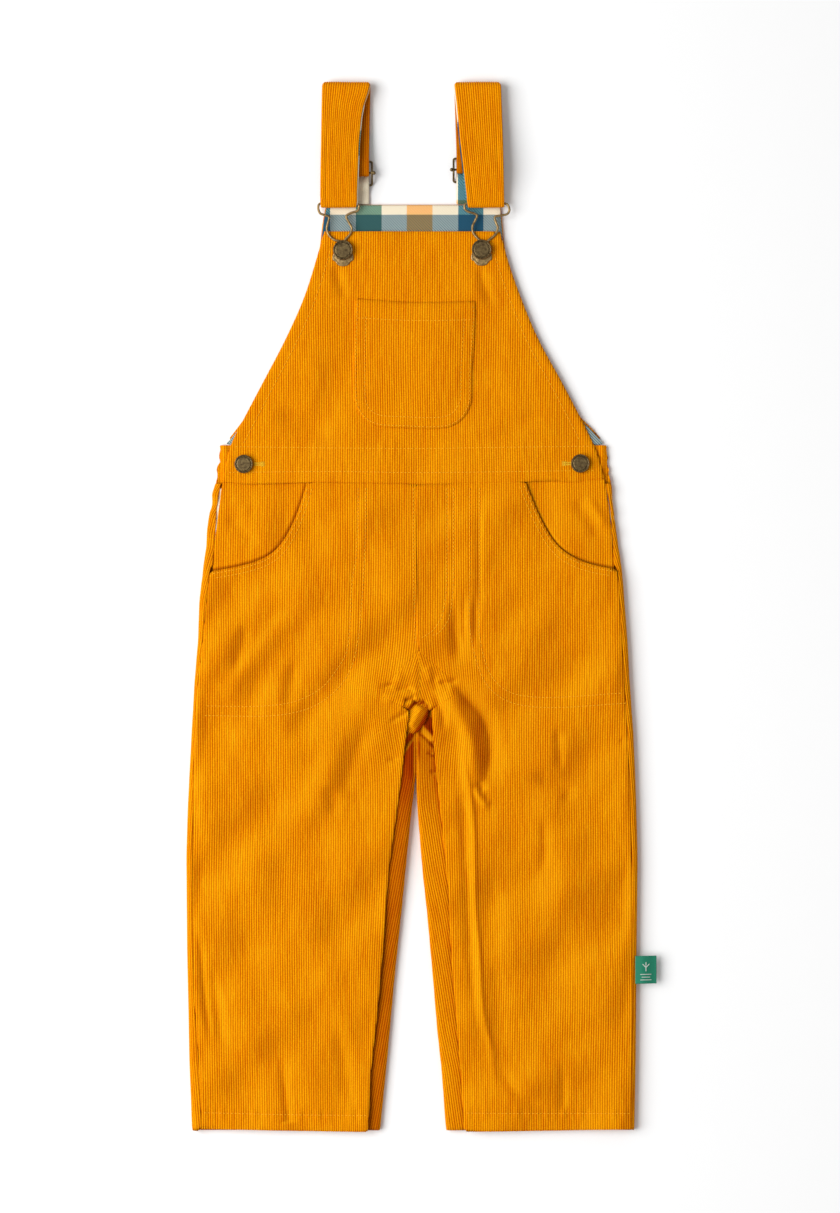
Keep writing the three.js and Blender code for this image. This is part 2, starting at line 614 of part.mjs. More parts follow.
// Middle line of a strap as [y, z, layer], the layer running 0 to 3 from the back bib to the slider
function strapLine(sliderY) {
  const line = [];
  const over = sliderEndZ + sliderFrameRadius + layGap + liePly;
  line.push([strapStartY, liePly, 0], [sliderY - 14.5, liePly, 0]);
  line.push([sliderY - 10.4, over, 0], [sliderY - 7.6, over, 0], [sliderY - 3.4, liePly, 0]);
  line.push([sliderY + 4, liePly, 0], [sliderY + 7.6, over, 0], [sliderY + 10.4, over, 0]);
  line.push([sliderY + 15, liePly, 0], [sliderY + 34, liePly, 0]);
  const steps = 6;
  for (let k = 0; k <= steps; k += 1) {
    const turn = (Math.PI * k) / steps;
    line.push([foldCentreY + outerFold * Math.sin(turn), foldCentreZ - outerFold * Math.cos(turn), k / steps]);
  }
  line.push([foldCentreY - 12, foldCentreZ + outerFold + 0.3, 1], [foldCentreY - 22, foldCentreZ + outerFold + 1, 1]);
  line.push([sliderY + 15, 12.2, 1], [sliderY + 6, 13.3, 1], [sliderY - 4, 13.3, 1]);
  line.push([sliderY - 12, 11.4, 1], [hookBarY + 5, hookBarZ + hookTurn + 0.6, 1]);
  for (let k = 0; k <= steps; k += 1) {
    const turn = (Math.PI * k) / steps;
    line.push([hookBarY - hookTurn * Math.sin(turn), hookBarZ + hookTurn * Math.cos(turn), 1 + k / steps]);
  }
  line.push([hookBarY + 5, hookBarZ - hookTurn + 0.9, 2], [sliderY - 12, 8.2, 2], [sliderY - 4, 10.6, 2]);
  line.push([sliderY + 6, 10.6, 2], [sliderY + 15, 9.4, 2], [foldCentreY - 22, foldCentreZ + innerFold + 0.9, 2]);
  line.push([foldCentreY - 12, foldCentreZ + innerFold + 0.2, 2]);
  for (let k = 0; k <= steps; k += 1) {
    const turn = (Math.PI * k) / steps;
    line.push([foldCentreY + innerFold * Math.sin(turn), foldCentreZ + innerFold * Math.cos(turn), 2 + k / steps]);
  }
  line.push([foldCentreY - 14, foldCentreZ - innerFold, 3], [foldCentreY - 24, foldCentreZ - innerFold + 0.5, 3]);
  line.push([sliderY + 16, 6.2, 3], [sliderY + 8, 7.8, 3]);
  for (let k = 0; k <= steps; k += 1) {
    const turn = (Math.PI * k) / steps;
    line.push([sliderY - sliderTurn * Math.sin(turn), sliderBarZ + sliderTurn * Math.cos(turn), 3]);
  }
  line.push([sliderY + 3, sliderBarZ - sliderTurn, 3]);
  return line;
}

// A ply of the strap, offset from the middle line towards the corduroy side (+) or the lining side (-)
function strapPlySolid(line, edges, near, far) {
  const points = line.map(([y, z]) => new THREE.Vector2(y, z));
  const outer = [];
  const inner = [];
  line.forEach(([y, z, layer], k) => {
    const back = points[Math.max(0, k - 1)];
    const ahead = points[Math.min(points.length - 1, k + 1)];
    const before = points[k].clone().sub(back);
    const after = ahead.clone().sub(points[k]);
    const along = before.normalize().add(after.normalize()).normalize();
    const out = new THREE.Vector2(along.y, -along.x);
    const [left, right] = edges(layer, y);
    outer.push([[left, y + out.x * far, z + out.y * far], [right, y + out.x * far, z + out.y * far]]);
    inner.push([[left, y + out.x * near, z + out.y * near], [right, y + out.x * near, z + out.y * near]]);
  });
  return wallBetween(outer, inner);
}

const strapEdges = {
  left: {
    frontLeft: [[303, -72.4], [312, -72.8], [398.6, -71.4]],
    frontRight: [[303, -45.2], [330, -44.1], [350, -43.4], [371, -41.6], [382, -39.6], [390, -36.6], [398.6, -34.6]],
    backLeft: [[303, -63.6], [345, -64.8], [398.6, -71]],
    backRight: [[303, -35.6], [345, -35.6], [398.6, -34.6]],
  },
  right: {
    frontLeft: [[303, 39.6], [328, 36.5], [354.5, 33.4], [381, 31], [398.6, 29]],
    frontRight: [[303, 67.2], [354, 66.1], [398.6, 64.6]],
    backLeft: [[303, 30.8], [345, 30.8], [398.6, 29]],
    backRight: [[303, 59], [345, 59.6], [398.6, 64.4]],
  },
};

function edgesFor(tables) {
  return (layer, y) => {
    const folded = layer <= 1 ? layer : layer <= 2 ? 1 : 3 - layer;
    const front = Math.max(0, folded);
    const left = tableValue(tables.backLeft, y) * (1 - front) + tableValue(tables.frontLeft, y) * front;
    const right = tableValue(tables.backRight, y) * (1 - front) + tableValue(tables.frontRight, y) * front;
    return [left, right];
  };
}

const sliderY = { left: 329.8, right: 332.2 };
["left", "right"].forEach((hand) => {
  const line = strapLine(sliderY[hand]);
  const edges = edgesFor(strapEdges[hand]);
  const halfGap = layGap / 2;
  add(`strap_${hand}`, strapPlySolid(line, edges, halfGap, halfGap + strapPly), cordColour);
  add(`strap_lining_${hand}`, strapPlySolid(line, edges, -halfGap, -halfGap - strapPly), flannelColour);
});

// --- Strap sliders: an arched wire frame with a centre bar that ends in balls ---
function slider(left, right, y) {
  const rail = [];
  const corner = 1.4;
  const cornerSteps = 3;
  const railSteps = 8;
  const low = y - sliderHalfLength;
  const high = y + sliderHalfLength;
  const rounded = (cx, cy, from) => {
    for (let k = 0; k <= cornerSteps; k += 1) {
      const turn = from + (Math.PI * k) / (2 * cornerSteps);
      rail.push([cx + corner * Math.cos(turn), cy + corner * Math.sin(turn)]);
    }
  };
  rounded(right - corner, low + corner, -Math.PI / 2);
  for (let k = 1; k < railSteps; k += 1) {
    rail.push([right, low + corner + ((high - low - 2 * corner) * k) / railSteps]);
  }
  rounded(right - corner, high - corner, 0);
  rounded(left + corner, high - corner, Math.PI / 2);
  for (let k = 1; k < railSteps; k += 1) {
    rail.push([left, high - corner - ((high - low - 2 * corner) * k) / railSteps]);
  }
  rounded(left + corner, low + corner, Math.PI);
  const arched = rail.map(([px, py]) => {
    const away = Math.min(1, Math.abs(py - y) / (sliderHalfLength - corner / 2));
    return new THREE.Vector3(px, py, sliderBarZ + (sliderEndZ - sliderBarZ) * away ** 2);
  });
  const frame = bar(arched, sliderFrameRadius, 6, true);
  const profile = [];
  const reach = (right - left) / 2 + 1.9;
  const ballSteps = 6;
  profile.push(new THREE.Vector2(0, -reach - ballRadius * 0.6));
  for (let k = 1; k <= ballSteps; k += 1) {
    const turn = (Math.PI * 0.8 * k) / ballSteps;
    profile.push(new THREE.Vector2(ballRadius * Math.sin(turn), -reach + 0.5 - ballRadius * Math.cos(turn)));
  }
  profile[0].y = -reach + 0.5 - ballRadius;
  const mirrored = profile.slice().reverse().map((p) => new THREE.Vector2(p.x, -p.y));
  profile.push(new THREE.Vector2(sliderBarRadius, -reach + 2.4), new THREE.Vector2(sliderBarRadius, reach - 2.4));
  profile.push(...mirrored);
  const rod = latheSolid(profile, 10);
  rod.rotateZ(-Math.PI / 2);
  rod.translate((left + right) / 2, y, sliderBarZ);
  return geometryFrom(solidFrom(frame).add(solidFrom(rod)));
}

// A turned solid about +Y from a profile whose ends are on the axis
function latheSolid(profile, sides) {
  const places = [];
  const faces = [];
  const middle = profile.slice(1, -1);
  places.push(0, profile[0].y, 0, 0, profile[profile.length - 1].y, 0);
  middle.forEach((p) => {
    for (let s = 0; s < sides; s += 1) {
      const turn = (2 * Math.PI * s) / sides;
      places.push(p.x * Math.cos(turn), p.y, p.x * Math.sin(turn));
    }
  });
  for (let s = 0; s < sides; s += 1) {
    const t = (s + 1) % sides;
    faces.push(0, 2 + s, 2 + t);
    const last = 2 + (middle.length - 1) * sides;
    faces.push(1, last + t, last + s);
    for (let k = 0; k < middle.length - 1; k += 1) {
      const a = 2 + k * sides;
      const b = a + sides;
      faces.push(a + s, b + s, b + t, a + s, b + t, a + t);
    }
  }
  return closed(places, faces);
}

add("strap_slider_left", slider(-66.8, -33.4, sliderY.left), metalColour, true);
add("strap_slider_right", slider(28.6, 61.8, sliderY.right), metalColour, true);

// --- Bib hooks, their plates and the buttons ---
const wireRestZ = bibTop + layGap + wireRadius;
["left", "right"].forEach((hand) => {
  const points = hookWires[hand].map(([x, y]) => {
    const lifted = soft(292, hookBarY - 3, y) * (hookBarZ - wireRestZ);
    return new THREE.Vector3(x, y, wireRestZ + lifted);
  });
  const wire = bar(smoothPoints(points, 72, false), wireRadius, 6, false);
  add(`bib_hook_${hand}`, wire, metalColour, true);
  const [bx, by] = bibButtons[hand];
  const outline = new THREE.Shape(plateOutline.map(([x, y]) => new THREE.Vector2(x, y)));
  const eye = new THREE.Path();
  eye.absarc(0, 0, buttonNeckRadius + 0.5, 0, 2 * Math.PI, true);
  outline.holes.push(eye);
  const plate = new THREE.ExtrudeGeometry(outline, { depth: plateWall, bevelEnabled: false, curveSegments: 8 });
  plate.translate(bx, by, bibTop + layGap);
  add(`hook_plate_${hand}`, plate, metalColour, true);
});

function button(x, y, base, neck, radius) {
  const head = base + neck;
  const high = head + buttonHeight;
  const profile = [
    [0, base], [buttonNeckRadius, base], [buttonNeckRadius, head], [radius - 0.8, head],
    [radius, head + 0.9], [radius - 0.3, high - 0.4], [radius - 1, high],
    [radius - 1.7, high - 0.5], [0, high - 0.3],
  ].map(([r, z]) => new THREE.Vector2(r, z));
  const made = latheSolid(profile, 24);
  made.rotateX(Math.PI / 2);
  made.translate(x, y, 0);
  return made;
}

const bibNeck = 2.2;
const sideNeck = 0.9;
add("bib_button_left", button(...bibButtons.left, bibTop + layGap, bibNeck, bibButtonRadius), metalColour, true);
add("bib_button_right", button(...bibButtons.right, bibTop + layGap, bibNeck, bibButtonRadius), metalColour, true);
const tabHeight = (place) => bibUpper(...place) + layGap + 0.3;
const leftTab = tabHeight(sideButtons.left);
const rightTab = tabHeight(sideButtons.right);
add("side_button_left", button(...sideButtons.left, leftTab, sideNeck, sideButtonRadius), metalColour, true);
add("side_button_right", button(...sideButtons.right, rightTab, sideNeck, sideButtonRadius), metalColour, true);

// --- Seam label: a folded woven tab that leaves the side seam and droops over the edge ---
const labelAcross = 8;
const labelTop = spread([[labelBox.left, labelBox.high], [labelBox.right, labelBox.high]], labelAcross);
const labelLow = spread([[labelBox.left, labelBox.low], [labelBox.right, labelBox.low]], labelAcross);
const labelRows = fill(
  labelTop, labelLow,
  [labelTop[0], labelLow[0]], [labelTop[labelAcross], labelLow[labelAcross]],
);
const labelUnder = (x) => legHeight + layGap + 0.2 - 3.2 * soft(171, 184, x);
add("seam_label", sheet(labelRows, (x) => labelUnder(x) + labelWall, labelUnder), labelColour);

group.position.x = shiftX;
group.updateMatrixWorld(true);

export default group;
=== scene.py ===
import math

import bpy
import numpy as np
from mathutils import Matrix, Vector


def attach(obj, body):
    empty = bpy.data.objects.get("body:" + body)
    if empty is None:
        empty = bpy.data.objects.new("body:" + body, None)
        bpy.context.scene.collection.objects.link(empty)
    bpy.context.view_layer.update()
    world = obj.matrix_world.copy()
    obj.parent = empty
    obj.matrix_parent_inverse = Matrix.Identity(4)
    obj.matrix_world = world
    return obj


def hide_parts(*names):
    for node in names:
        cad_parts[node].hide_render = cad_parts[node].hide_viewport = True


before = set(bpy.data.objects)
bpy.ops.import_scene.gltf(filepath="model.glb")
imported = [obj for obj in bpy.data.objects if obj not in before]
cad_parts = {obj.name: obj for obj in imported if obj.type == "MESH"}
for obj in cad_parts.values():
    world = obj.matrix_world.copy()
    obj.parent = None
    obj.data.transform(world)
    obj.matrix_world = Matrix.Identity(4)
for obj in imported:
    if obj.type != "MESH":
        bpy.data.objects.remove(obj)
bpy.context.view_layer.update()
mm = 0.001
lieShift = -4.05  # the middle of the whole width, tab included, lies on x = 0

# All shapes below are worked in garment millimetres: x from the centre front seam, y towards the straps
cord = {
    "wale": 1.8,  # from one rib to the next
    "relief": 0.5,  # how far a rib stands above its valley
    "edgeBite": 0.4,  # how far ribs jut out where an edge cuts across them
    "ribShape": (0.0, 0.74, 1.0, 0.74),  # height at the four columns of a rib
    "rowStep": 3.4,
    "lit": (0.93, -0.36),  # slopes facing this way get painted highlight, slopes facing away get painted shade
    "underShade": 0.55,  # painted shade on the cut edges and undersides
    # strength of the painted shade and painted highlight on slopes
    "pressedGain": 0.34,
    "paintedHighlightGain": 0.5,
}
lay = {
    "legHeight": 8.0,
    "hipHeight": 5.6,
    "legWall": 2.0,
    "legFloor": 3.9,  # the front of a leg never sinks below this
    "foldGain": 0.85,
    "softEnds": 0.3,  # folds in the front fade out over this share of their length
    "grooveGain": 1.4,  # how much deeper than their tables the stitched rows of the legs lie
    "bibTop": 5.0,
    "waistTop": 7.5,
    "waistSeam": 93.0,
}


def rowPlace(points):
    placed = np.array(points, float)
    placed[:, 0] += lieShift
    return placed * mm


def softStep(low, high, at):
    share = np.clip((at - low) / (high - low), 0, 1)
    return share * share * (3 - 2 * share)


# Smooth line through driving points, samples about a step apart
def smoothLine(points, step=2.0):
    p = np.array(points, float)
    if len(p) < 3:
        count = max(2, int(np.linalg.norm(p[-1] - p[0]) / step) + 1)
        return p[0] + (p[-1] - p[0]) * np.linspace(0, 1, count)[:, None]
    ends = np.vstack([2 * p[0] - p[1], p, 2 * p[-1] - p[-2]])
    pieces = []
    for i in range(1, len(ends) - 2):
        a, b, c, d = ends[i - 1:i + 3]
        gaps = [max(1e-6, np.linalg.norm(v)) ** 0.5 for v in (b - a, c - b, d - c)]
        t0, t1, t2, t3 = 0, gaps[0], gaps[0] + gaps[1], sum(gaps)
        count = max(1, int(round(np.linalg.norm(c - b) / step)))
        t = (t1 + (t2 - t1) * np.linspace(0, 1, count, endpoint=False))[:, None]
        ab = (t1 - t) / (t1 - t0) * a + (t - t0) / (t1 - t0) * b
        bc = (t2 - t) / (t2 - t1) * b + (t - t1) / (t2 - t1) * c
        cd = (t3 - t) / (t3 - t2) * c + (t - t2) / (t3 - t2) * d
        abc = (t2 - t) / (t2 - t0) * ab + (t - t0) / (t2 - t0) * bc
        bcd = (t3 - t) / (t3 - t1) * bc + (t - t1) / (t3 - t1) * cd
        pieces.append((t2 - t) / (t2 - t1) * abc + (t - t1) / (t2 - t1) * bcd)
    pieces.append(p[-1:])
    return np.vstack(pieces)


# A reading of a table of (y, x) rows with its corners eased over width millimetres
def easedTable(table, width=12):
    rows = np.array(sorted(table), float)
    at = np.arange(rows[0, 0] - 3 * width, rows[-1, 0] + 3 * width, 1.0)
    value = np.interp(at, rows[:, 0], rows[:, 1])
    lowSlope = (rows[1, 1] - rows[0, 1]) / (rows[1, 0] - rows[0, 0])
    highSlope = (rows[-1, 1] - rows[-2, 1]) / (rows[-1, 0] - rows[-2, 0])
    value += np.minimum(at - rows[0, 0], 0) * lowSlope + np.maximum(at - rows[-1, 0], 0) * highSlope
    weights = np.hanning(2 * width + 1)
    eased = np.convolve(value, weights / weights.sum(), "same")
    keep = slice(width, -width)
    return lambda y: np.interp(y, at[keep], eased[keep])


def lineLength(points):
    return float(np.linalg.norm(np.diff(points, axis=0), axis=1).sum())


# For every place: distance to a line, side (+ on its left), and millimetres along it
def nearLine(x, y, points):
    best = np.full(x.shape, 1e9)
    side = np.zeros(x.shape)
    along = np.zeros(x.shape)
    gone = 0.0
    for (ax, ay), (bx, by) in zip(points[:-1], points[1:]):
        dx, dy = bx - ax, by - ay
        span = math.hypot(dx, dy) or 1e-9
        share = np.clip(((x - ax) * dx + (y - ay) * dy) / span ** 2, 0, 1)
        gapX, gapY = x - ax - share * dx, y - ay - share * dy
        far = np.hypot(gapX, gapY)
        nearer = far < best
        best = np.where(nearer, far, best)
        side = np.where(nearer, np.sign(dx * (y - ay) - dy * (x - ax)), side)
        along = np.where(nearer, gone + share * span, along)
        gone += span
    return best, side, along


# Soft troughs and ridges laid along lines; lean makes the left flank wide and the right one steep
def foldHeight(x, y, folds, gain=1.0, softEnds=0.0):
    height = np.zeros(x.shape)
    for fold in folds:
        line = smoothLine(fold["line"], 12)
        reach, lean = fold["reach"], fold.get("lean", 0.0)
        box = (x > line[:, 0].min() - 4 * reach) & (x < line[:, 0].max() + 4 * reach)
        box &= (y > line[:, 1].min() - 4 * reach) & (y < line[:, 1].max() + 4 * reach)
        if not box.any():
            continue
        far, side, along = nearLine(x[box], y[box], line)
        whole = lineLength(line)
        width = reach * np.where(side > 0, 1 + lean, 1 - lean)
        fade = [max(end, softEnds) if end > 0 else 0.0 for end in fold.get("fade", (0.3, 0.3))]
        starts, stops = fade[0] * whole + 1e-6, whole * (1 - fade[1]) - 1e-6
        ends = softStep(0, starts, along) * (1 - softStep(stops, whole, along))
        height[box] += gain * fold["height"] * np.exp(-(far / width) ** 2) * ends
    return height


# Low uneven rise and fall of cloth that has been smoothed out by hand
def handling(x, y, seed, size=0.22, slant=0.5):
    waves = np.random.default_rng(seed)
    height = np.zeros(x.shape)
    for k in range(7):
        length = waves.uniform(28, 95)
        turn = slant + waves.normal(0, 0.45)
        phase = waves.uniform(0, 2 * math.pi)
        swing = waves.uniform(0.5, 1.0) * length / 70
        drift = 6 * np.sin((x * math.sin(turn) + y * math.cos(turn)) / 60 + phase)
        swell = 2 * math.pi * (x * math.cos(turn) - y * math.sin(turn) + drift) / length + phase
        height += swing * np.sin(swell)
    return size * height


def signedDistance(x, y, outline):
    far, inside = np.full(x.shape, 1e9), np.zeros(x.shape, bool)
    closed = np.vstack([outline, outline[:1]])
    for (ax, ay), (bx, by) in zip(closed[:-1], closed[1:]):
        dx, dy = bx - ax, by - ay
        span = dx * dx + dy * dy
        if span < 1e-9:
            continue
        share = np.clip(((x - ax) * dx + (y - ay) * dy) / span, 0, 1)
        far = np.minimum(far, (x - ax - share * dx) ** 2 + (y - ay - share * dy) ** 2)
        if dy:
            crosses = ((ay > y) != (by > y)) & (x < dx * (y - ay) / dy + ax)
            inside ^= crosses
    return np.where(inside, 1, -1) * np.sqrt(far)


# Cuts a grid of cells to where the field is positive: places in grid steps, and faces
def cutGrid(field):
    field = np.where(np.abs(field) < 1e-4, 1e-4, field)
    rows, columns = field.shape
    inside = field > 0
    ids = np.arange(rows * columns).reshape(rows, columns)
    acrossIds = ids.size + np.arange(rows * (columns - 1)).reshape(rows, columns - 1)
    upIds = acrossIds.max() + 1 + np.arange((rows - 1) * columns).reshape(rows - 1, columns)
    slots = [
        ids[:-1, :-1], acrossIds[:-1], ids[:-1, 1:], upIds[:, 1:],
        ids[1:, 1:], acrossIds[1:], ids[1:, :-1], upIds[:, :-1],
    ]
    corners = [inside[:-1, :-1], inside[:-1, 1:], inside[1:, 1:], inside[1:, :-1]]
    code = sum(corner.astype(int) << k for k, corner in enumerate(corners))
    faces = []
    for kind in range(1, 16):
        bits = [(kind >> k) & 1 for k in range(4)]
        used = []
        for k in range(4):
            if bits[k]:
                used.append(2 * k)
            if bits[k] != bits[(k + 1) % 4]:
                used.append(2 * k + 1)
        cells = code == kind
        if cells.any():
            faces.append(np.stack([slots[k][cells] for k in used], axis=1))
    j, i = np.mgrid[0:rows, 0:columns].astype(float)
    with np.errstate(divide="ignore", invalid="ignore"):
        acrossShare = np.clip(field[:, :-1] / (field[:, :-1] - field[:, 1:]), 0, 1)
        upShare = np.clip(field[:-1] / (field[:-1] - field[1:]), 0, 1)
    placeI = np.concatenate([i.ravel(), (i[:, :-1] + acrossShare).ravel(), i[:-1].ravel()])
    placeJ = np.concatenate([j.ravel(), j[:, :-1].ravel(), (j[:-1] + upShare).ravel()])
    placeF = np.concatenate([field.ravel(), np.zeros(acrossIds.size + upIds.size)])
    used = np.unique(np.concatenate([f.ravel() for f in faces]))
    renumber = np.zeros(len(placeI), int)
    renumber[used] = np.arange(len(used))
    return placeI[used], placeJ[used], placeF[used], [renumber[f] for f in faces]


# Loops of open edges, each in the order of its faces
def openLoops(faces):
    starts, ends = [], []
    for group in faces:
        starts.append(group.ravel())
        ends.append(np.roll(group, -1, axis=1).ravel())
    starts, ends = np.concatenate(starts), np.concatenate(ends)
    big = int(max(starts.max(), ends.max())) + 1
    alone = ~np.isin(starts.astype(np.int64) * big + ends, ends.astype(np.int64) * big + starts)
    following = dict(zip(starts[alone].tolist(), ends[alone].tolist()))
    loops = []
    while following:
        first, at = following.popitem()
        loop = [first]
        while at != first and at in following:
            loop.append(at)
            at = following.pop(at)
        loops.append(loop)
    return sorted(loops, key=len, reverse=True)


# Triangles between two loops that run the same way round
def zipLoops(outer, inner, places):
    outerPlaces, innerPlaces = places[outer], places[inner]
    start = int(np.argmin(np.linalg.norm(innerPlaces - outerPlaces[0], axis=1)))
    inner = inner[start:] + inner[:start]
    shares = []
    for loop in (outer, inner):
        p = places[loop + loop[:1]]
        gone = np.concatenate([[0], np.cumsum(np.linalg.norm(np.diff(p, axis=0), axis=1))])
        shares.append(gone / gone[-1])
    faces, i, j = [], 0, 0
    while i < len(outer) or j < len(inner):
        nextI = shares[0][i + 1] if i < len(outer) else 2
        nextJ = shares[1][j + 1] if j < len(inner) else 2
        a, b = outer[i % len(outer)], inner[j % len(inner)]
        if nextI <= nextJ:
            faces.append((outer[(i + 1) % len(outer)], a, b))
            i += 1
        else:
            faces.append((a, b, inner[(j + 1) % len(inner)]))
            j += 1
    return faces


materials = {}


def makePiece(name, places, faces, finish, nodes=(), grain=None, smooth=True, shade=None):
    mesh = bpy.data.meshes.new(name)
    mesh.from_pydata(rowPlace(places).tolist(), [], faces)
    if grain is not None:
        layer = mesh.uv_layers.new(name="grain")
        corner = np.empty(len(mesh.loops), np.int32)
        mesh.loops.foreach_get("vertex_index", corner)
        layer.data.foreach_set("uv", (np.asarray(grain, float)[corner] * mm).astype(np.float32).ravel())
        # painted shade (first) and painted highlight (second) at each point
        layer = mesh.uv_layers.new(name="pressed")
        pressed = np.zeros((len(places), 2)) if shade is None else np.asarray(shade, float)
        layer.data.foreach_set("uv", pressed[corner].astype(np.float32).ravel())
    mesh.polygons.foreach_set("use_smooth", np.full(len(mesh.polygons), smooth))
    mesh.validate()
    mesh.update()
    piece = bpy.data.objects.new(name, mesh)
    bpy.context.scene.collection.objects.link(piece)
    mesh.materials.append(materials[finish])
    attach(piece, "root")
    if nodes:
        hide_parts(*nodes)
    return piece


def faceLists(groups, offset=0, flip=False):
    lists = []
    for group in groups:
        arranged = group[:, ::-1] if flip else group
        lists += (arranged + offset).tolist()
    return lists


# Height of a rib at a place across the grain, 0 in the valley and 1 on top
def ribHeight(across):
    phase = np.mod(across / cord["wale"], 1) * 4
    shape = np.array(cord["ribShape"] + cord["ribShape"][:1])
    return np.interp(phase, np.arange(5), shape)


# A closed piece of ribbed cloth from a rule that carries (across, along) to x, y, z and the way out
def ribbedShell(name, field, across, along, carry, wall, node, grainShift=(0, 0)):
    parts, shade, offset = [], [], 0
    faces, loops = [], []
    for layer, (stepA, stepB) in enumerate(((1, 1), (4, 2))):
        a, b = across[::stepA], along[::stepB]
        if a[-1] != across[-1]:
            a = np.append(a, across[-1])
        if b[-1] != along[-1]:
            b = np.append(b, along[-1])
        gridA, gridB = np.meshgrid(a, b)
        i, j, f, groups = cutGrid(field(gridA, gridB))
        placeA = np.interp(i, np.arange(len(a)), a)
        placeB = np.interp(j, np.arange(len(b)), b)
        centre, out, *pressed = carry(placeA, placeB, f)
        # the inner layer, and the cut edges running down to it, get painted shade
        under = (cord["underShade"] * layer, 0)
        shade.append(np.maximum(pressed[0], under) if pressed else np.zeros((len(placeA), 2)))
        if layer == 0:
            places = centre + out * (cord["relief"] * ribHeight(placeA) * softStep(-0.3, 0.6, f))[:, None]
        else:
            places = centre - out * wall
        parts.append((places, np.stack([placeA + grainShift[0], placeB + grainShift[1]], axis=1)))
        faces += faceLists(groups, offset, flip=layer == 1)
        loops.append([[v + offset for v in loop] for loop in openLoops(groups)])
        offset += len(places)
    places = np.vstack([p for p, _ in parts])
    for outer, inner in zip(*loops):
        faces += zipLoops(outer, inner, places)
    grain = np.vstack([g for _, g in parts])
    return makePiece(name, places, faces, "corduroy", [node] if node else [], grain, shade=np.vstack(shade))


# Rows a step apart, closer together inside the bands that are given as (low, high, step)
def rowPlaces(low, high, step, bands):
    rows, at = [low], low
    while at < high + step:
        here = step
        for bandLow, bandHigh, bandStep in bands:
            if bandLow - step < at < bandHigh:
                here = bandStep
        at += here
        rows.append(at)
    return np.array(rows)


# Painted shade on slopes that face away from the light, right and down, and painted highlight on the ones
# that face it; painted shade for hollows is added when given
def pressedBy(height, x, y, hollow=None):
    stepX, stepY = 0.8, 1.2
    slopeX = (height(x + stepX, y) - height(x - stepX, y)) / (2 * stepX)
    slopeY = (height(x, y + stepY) - height(x, y - stepY)) / (2 * stepY)
    facing = cord["lit"][0] * slopeX + cord["lit"][1] * slopeY
    dark = cord["pressedGain"] * np.tanh(np.maximum(-facing - 0.012, 0) / 0.13)
    if hollow:
        dark = dark + hollow(x, y)
    bright = cord["paintedHighlightGain"] * np.tanh(np.maximum(facing, 0) / 0.16)
    return np.stack([np.clip(dark, 0, 1), bright], axis=1)


# A flat-lying panel: outline, height of its face, and stitched grooves
def cordPanel(
    name, node, outline, height, wall, warp=None, grooves=(), edge=(0.45, 1.6), rowStep=None,
    fineRows=(), sewn=(), grow=0.0, hollow=None,
):
    low, high = outline.min(axis=0) - 1, outline.max(axis=0) + 1
    step = cord["wale"] / 4
    reach = 32 if warp else 0
    across = np.arange(math.floor((low[0] - reach) / step), math.ceil((high[0] + reach) / step) + 1) * step
    along = rowPlaces(low[1], high[1], rowStep or cord["rowStep"], fineRows)
    lean = warp or (lambda a, b: np.zeros(a.shape))

    def bend(a, b):
        return lean(a, b) + 0.4 * np.sin(b / 43 + a / 71) + 0.22 * np.sin(b / 19 + a / 37 + 1)

    def field(a, b):
        return signedDistance(a + bend(a, b), b, outline) + grow + cord["edgeBite"] * (ribHeight(a) - 0.6)

    def carry(a, b, f):
        x = a + bend(a, b)
        drop = edge[0] * (1 - softStep(0, edge[1], f))
        beside = f < edge[1]
        for line in sewn:
            far, _, _ = nearLine(x[beside], b[beside], line)
            drop[beside] *= 1 - 0.9 * np.exp(-(far / 3.0) ** 2)
        z = height(x, b) - drop
        z += grooveHeight(x, b, grooves)
        out = np.zeros((len(x), 3))
        out[:, 2] = 1
        # the last part is the painted shade and highlight of the slopes, with painted shade in hollows
        return np.stack([x, b, z], axis=1), out, pressedBy(height, x, b, hollow)

    piece = ribbedShell(name, field, across, along, carry, wall, node)
    return piece


# Cloth pulled down by a row of stitches, with small puckers beside it
def grooveHeight(x, y, grooves):
    height = np.zeros(x.shape)
    for groove in grooves:
        line = groove["points"]
        box = (x > line[:, 0].min() - 8) & (x < line[:, 0].max() + 8)
        box &= (y > line[:, 1].min() - 8) & (y < line[:, 1].max() + 8)
        if not box.any():
            continue
        far, _, along = nearLine(x[box], y[box], line)
        height[box] -= groove["depth"] * np.exp(-(far / groove.get("reach", 1.3)) ** 2)
        pucker = groove.get("pucker", 0)
        if pucker:
            beat = np.sin(along * 2 * math.pi / 7.3 + 1.7 * np.sin(along / 11)) + 0.6 * np.sin(along / 1.9)
            height[box] += pucker * beat * np.exp(-(far / 4.5) ** 2)
    return height


print("helpers ready")


def nodeTree(name):
    material = bpy.data.materials.new(name)
    material.use_nodes = True
    tree = material.node_tree
    shader = tree.nodes["Principled BSDF"]
    return material, tree, shader


def addNode(tree, kind, **values):
    node = tree.nodes.new(kind)
    for key, value in values.items():
        if key.startswith("in"):
            node.inputs[int(key[2:])].default_value = value
        else:
            setattr(node, key, value)
    return node


def math2(tree, operation, first, second=None):
    node = tree.nodes.new("ShaderNodeMath")
    node.operation = operation
    for k, value in enumerate((first, second)):
        if value is None:
            continue
        if isinstance(value, (int, float)):
            node.inputs[k].default_value = value
        else:
            tree.links.new(value, node.inputs[k])
    return node.outputs[0]


def mixColour(tree, blend, factor, first, second):
    node = tree.nodes.new("ShaderNodeMix")
    node.data_type = "RGBA"
    node.blend_type = blend
    for socket, value in ((node.inputs[0], factor), (node.inputs[6], first), (node.inputs[7], second)):
        if isinstance(value, (int, float)):
            socket.default_value = value
        elif isinstance(value, tuple):
            socket.default_value = (*value, 1)
        else:
            tree.links.new(value, socket)
    return node.outputs[2]


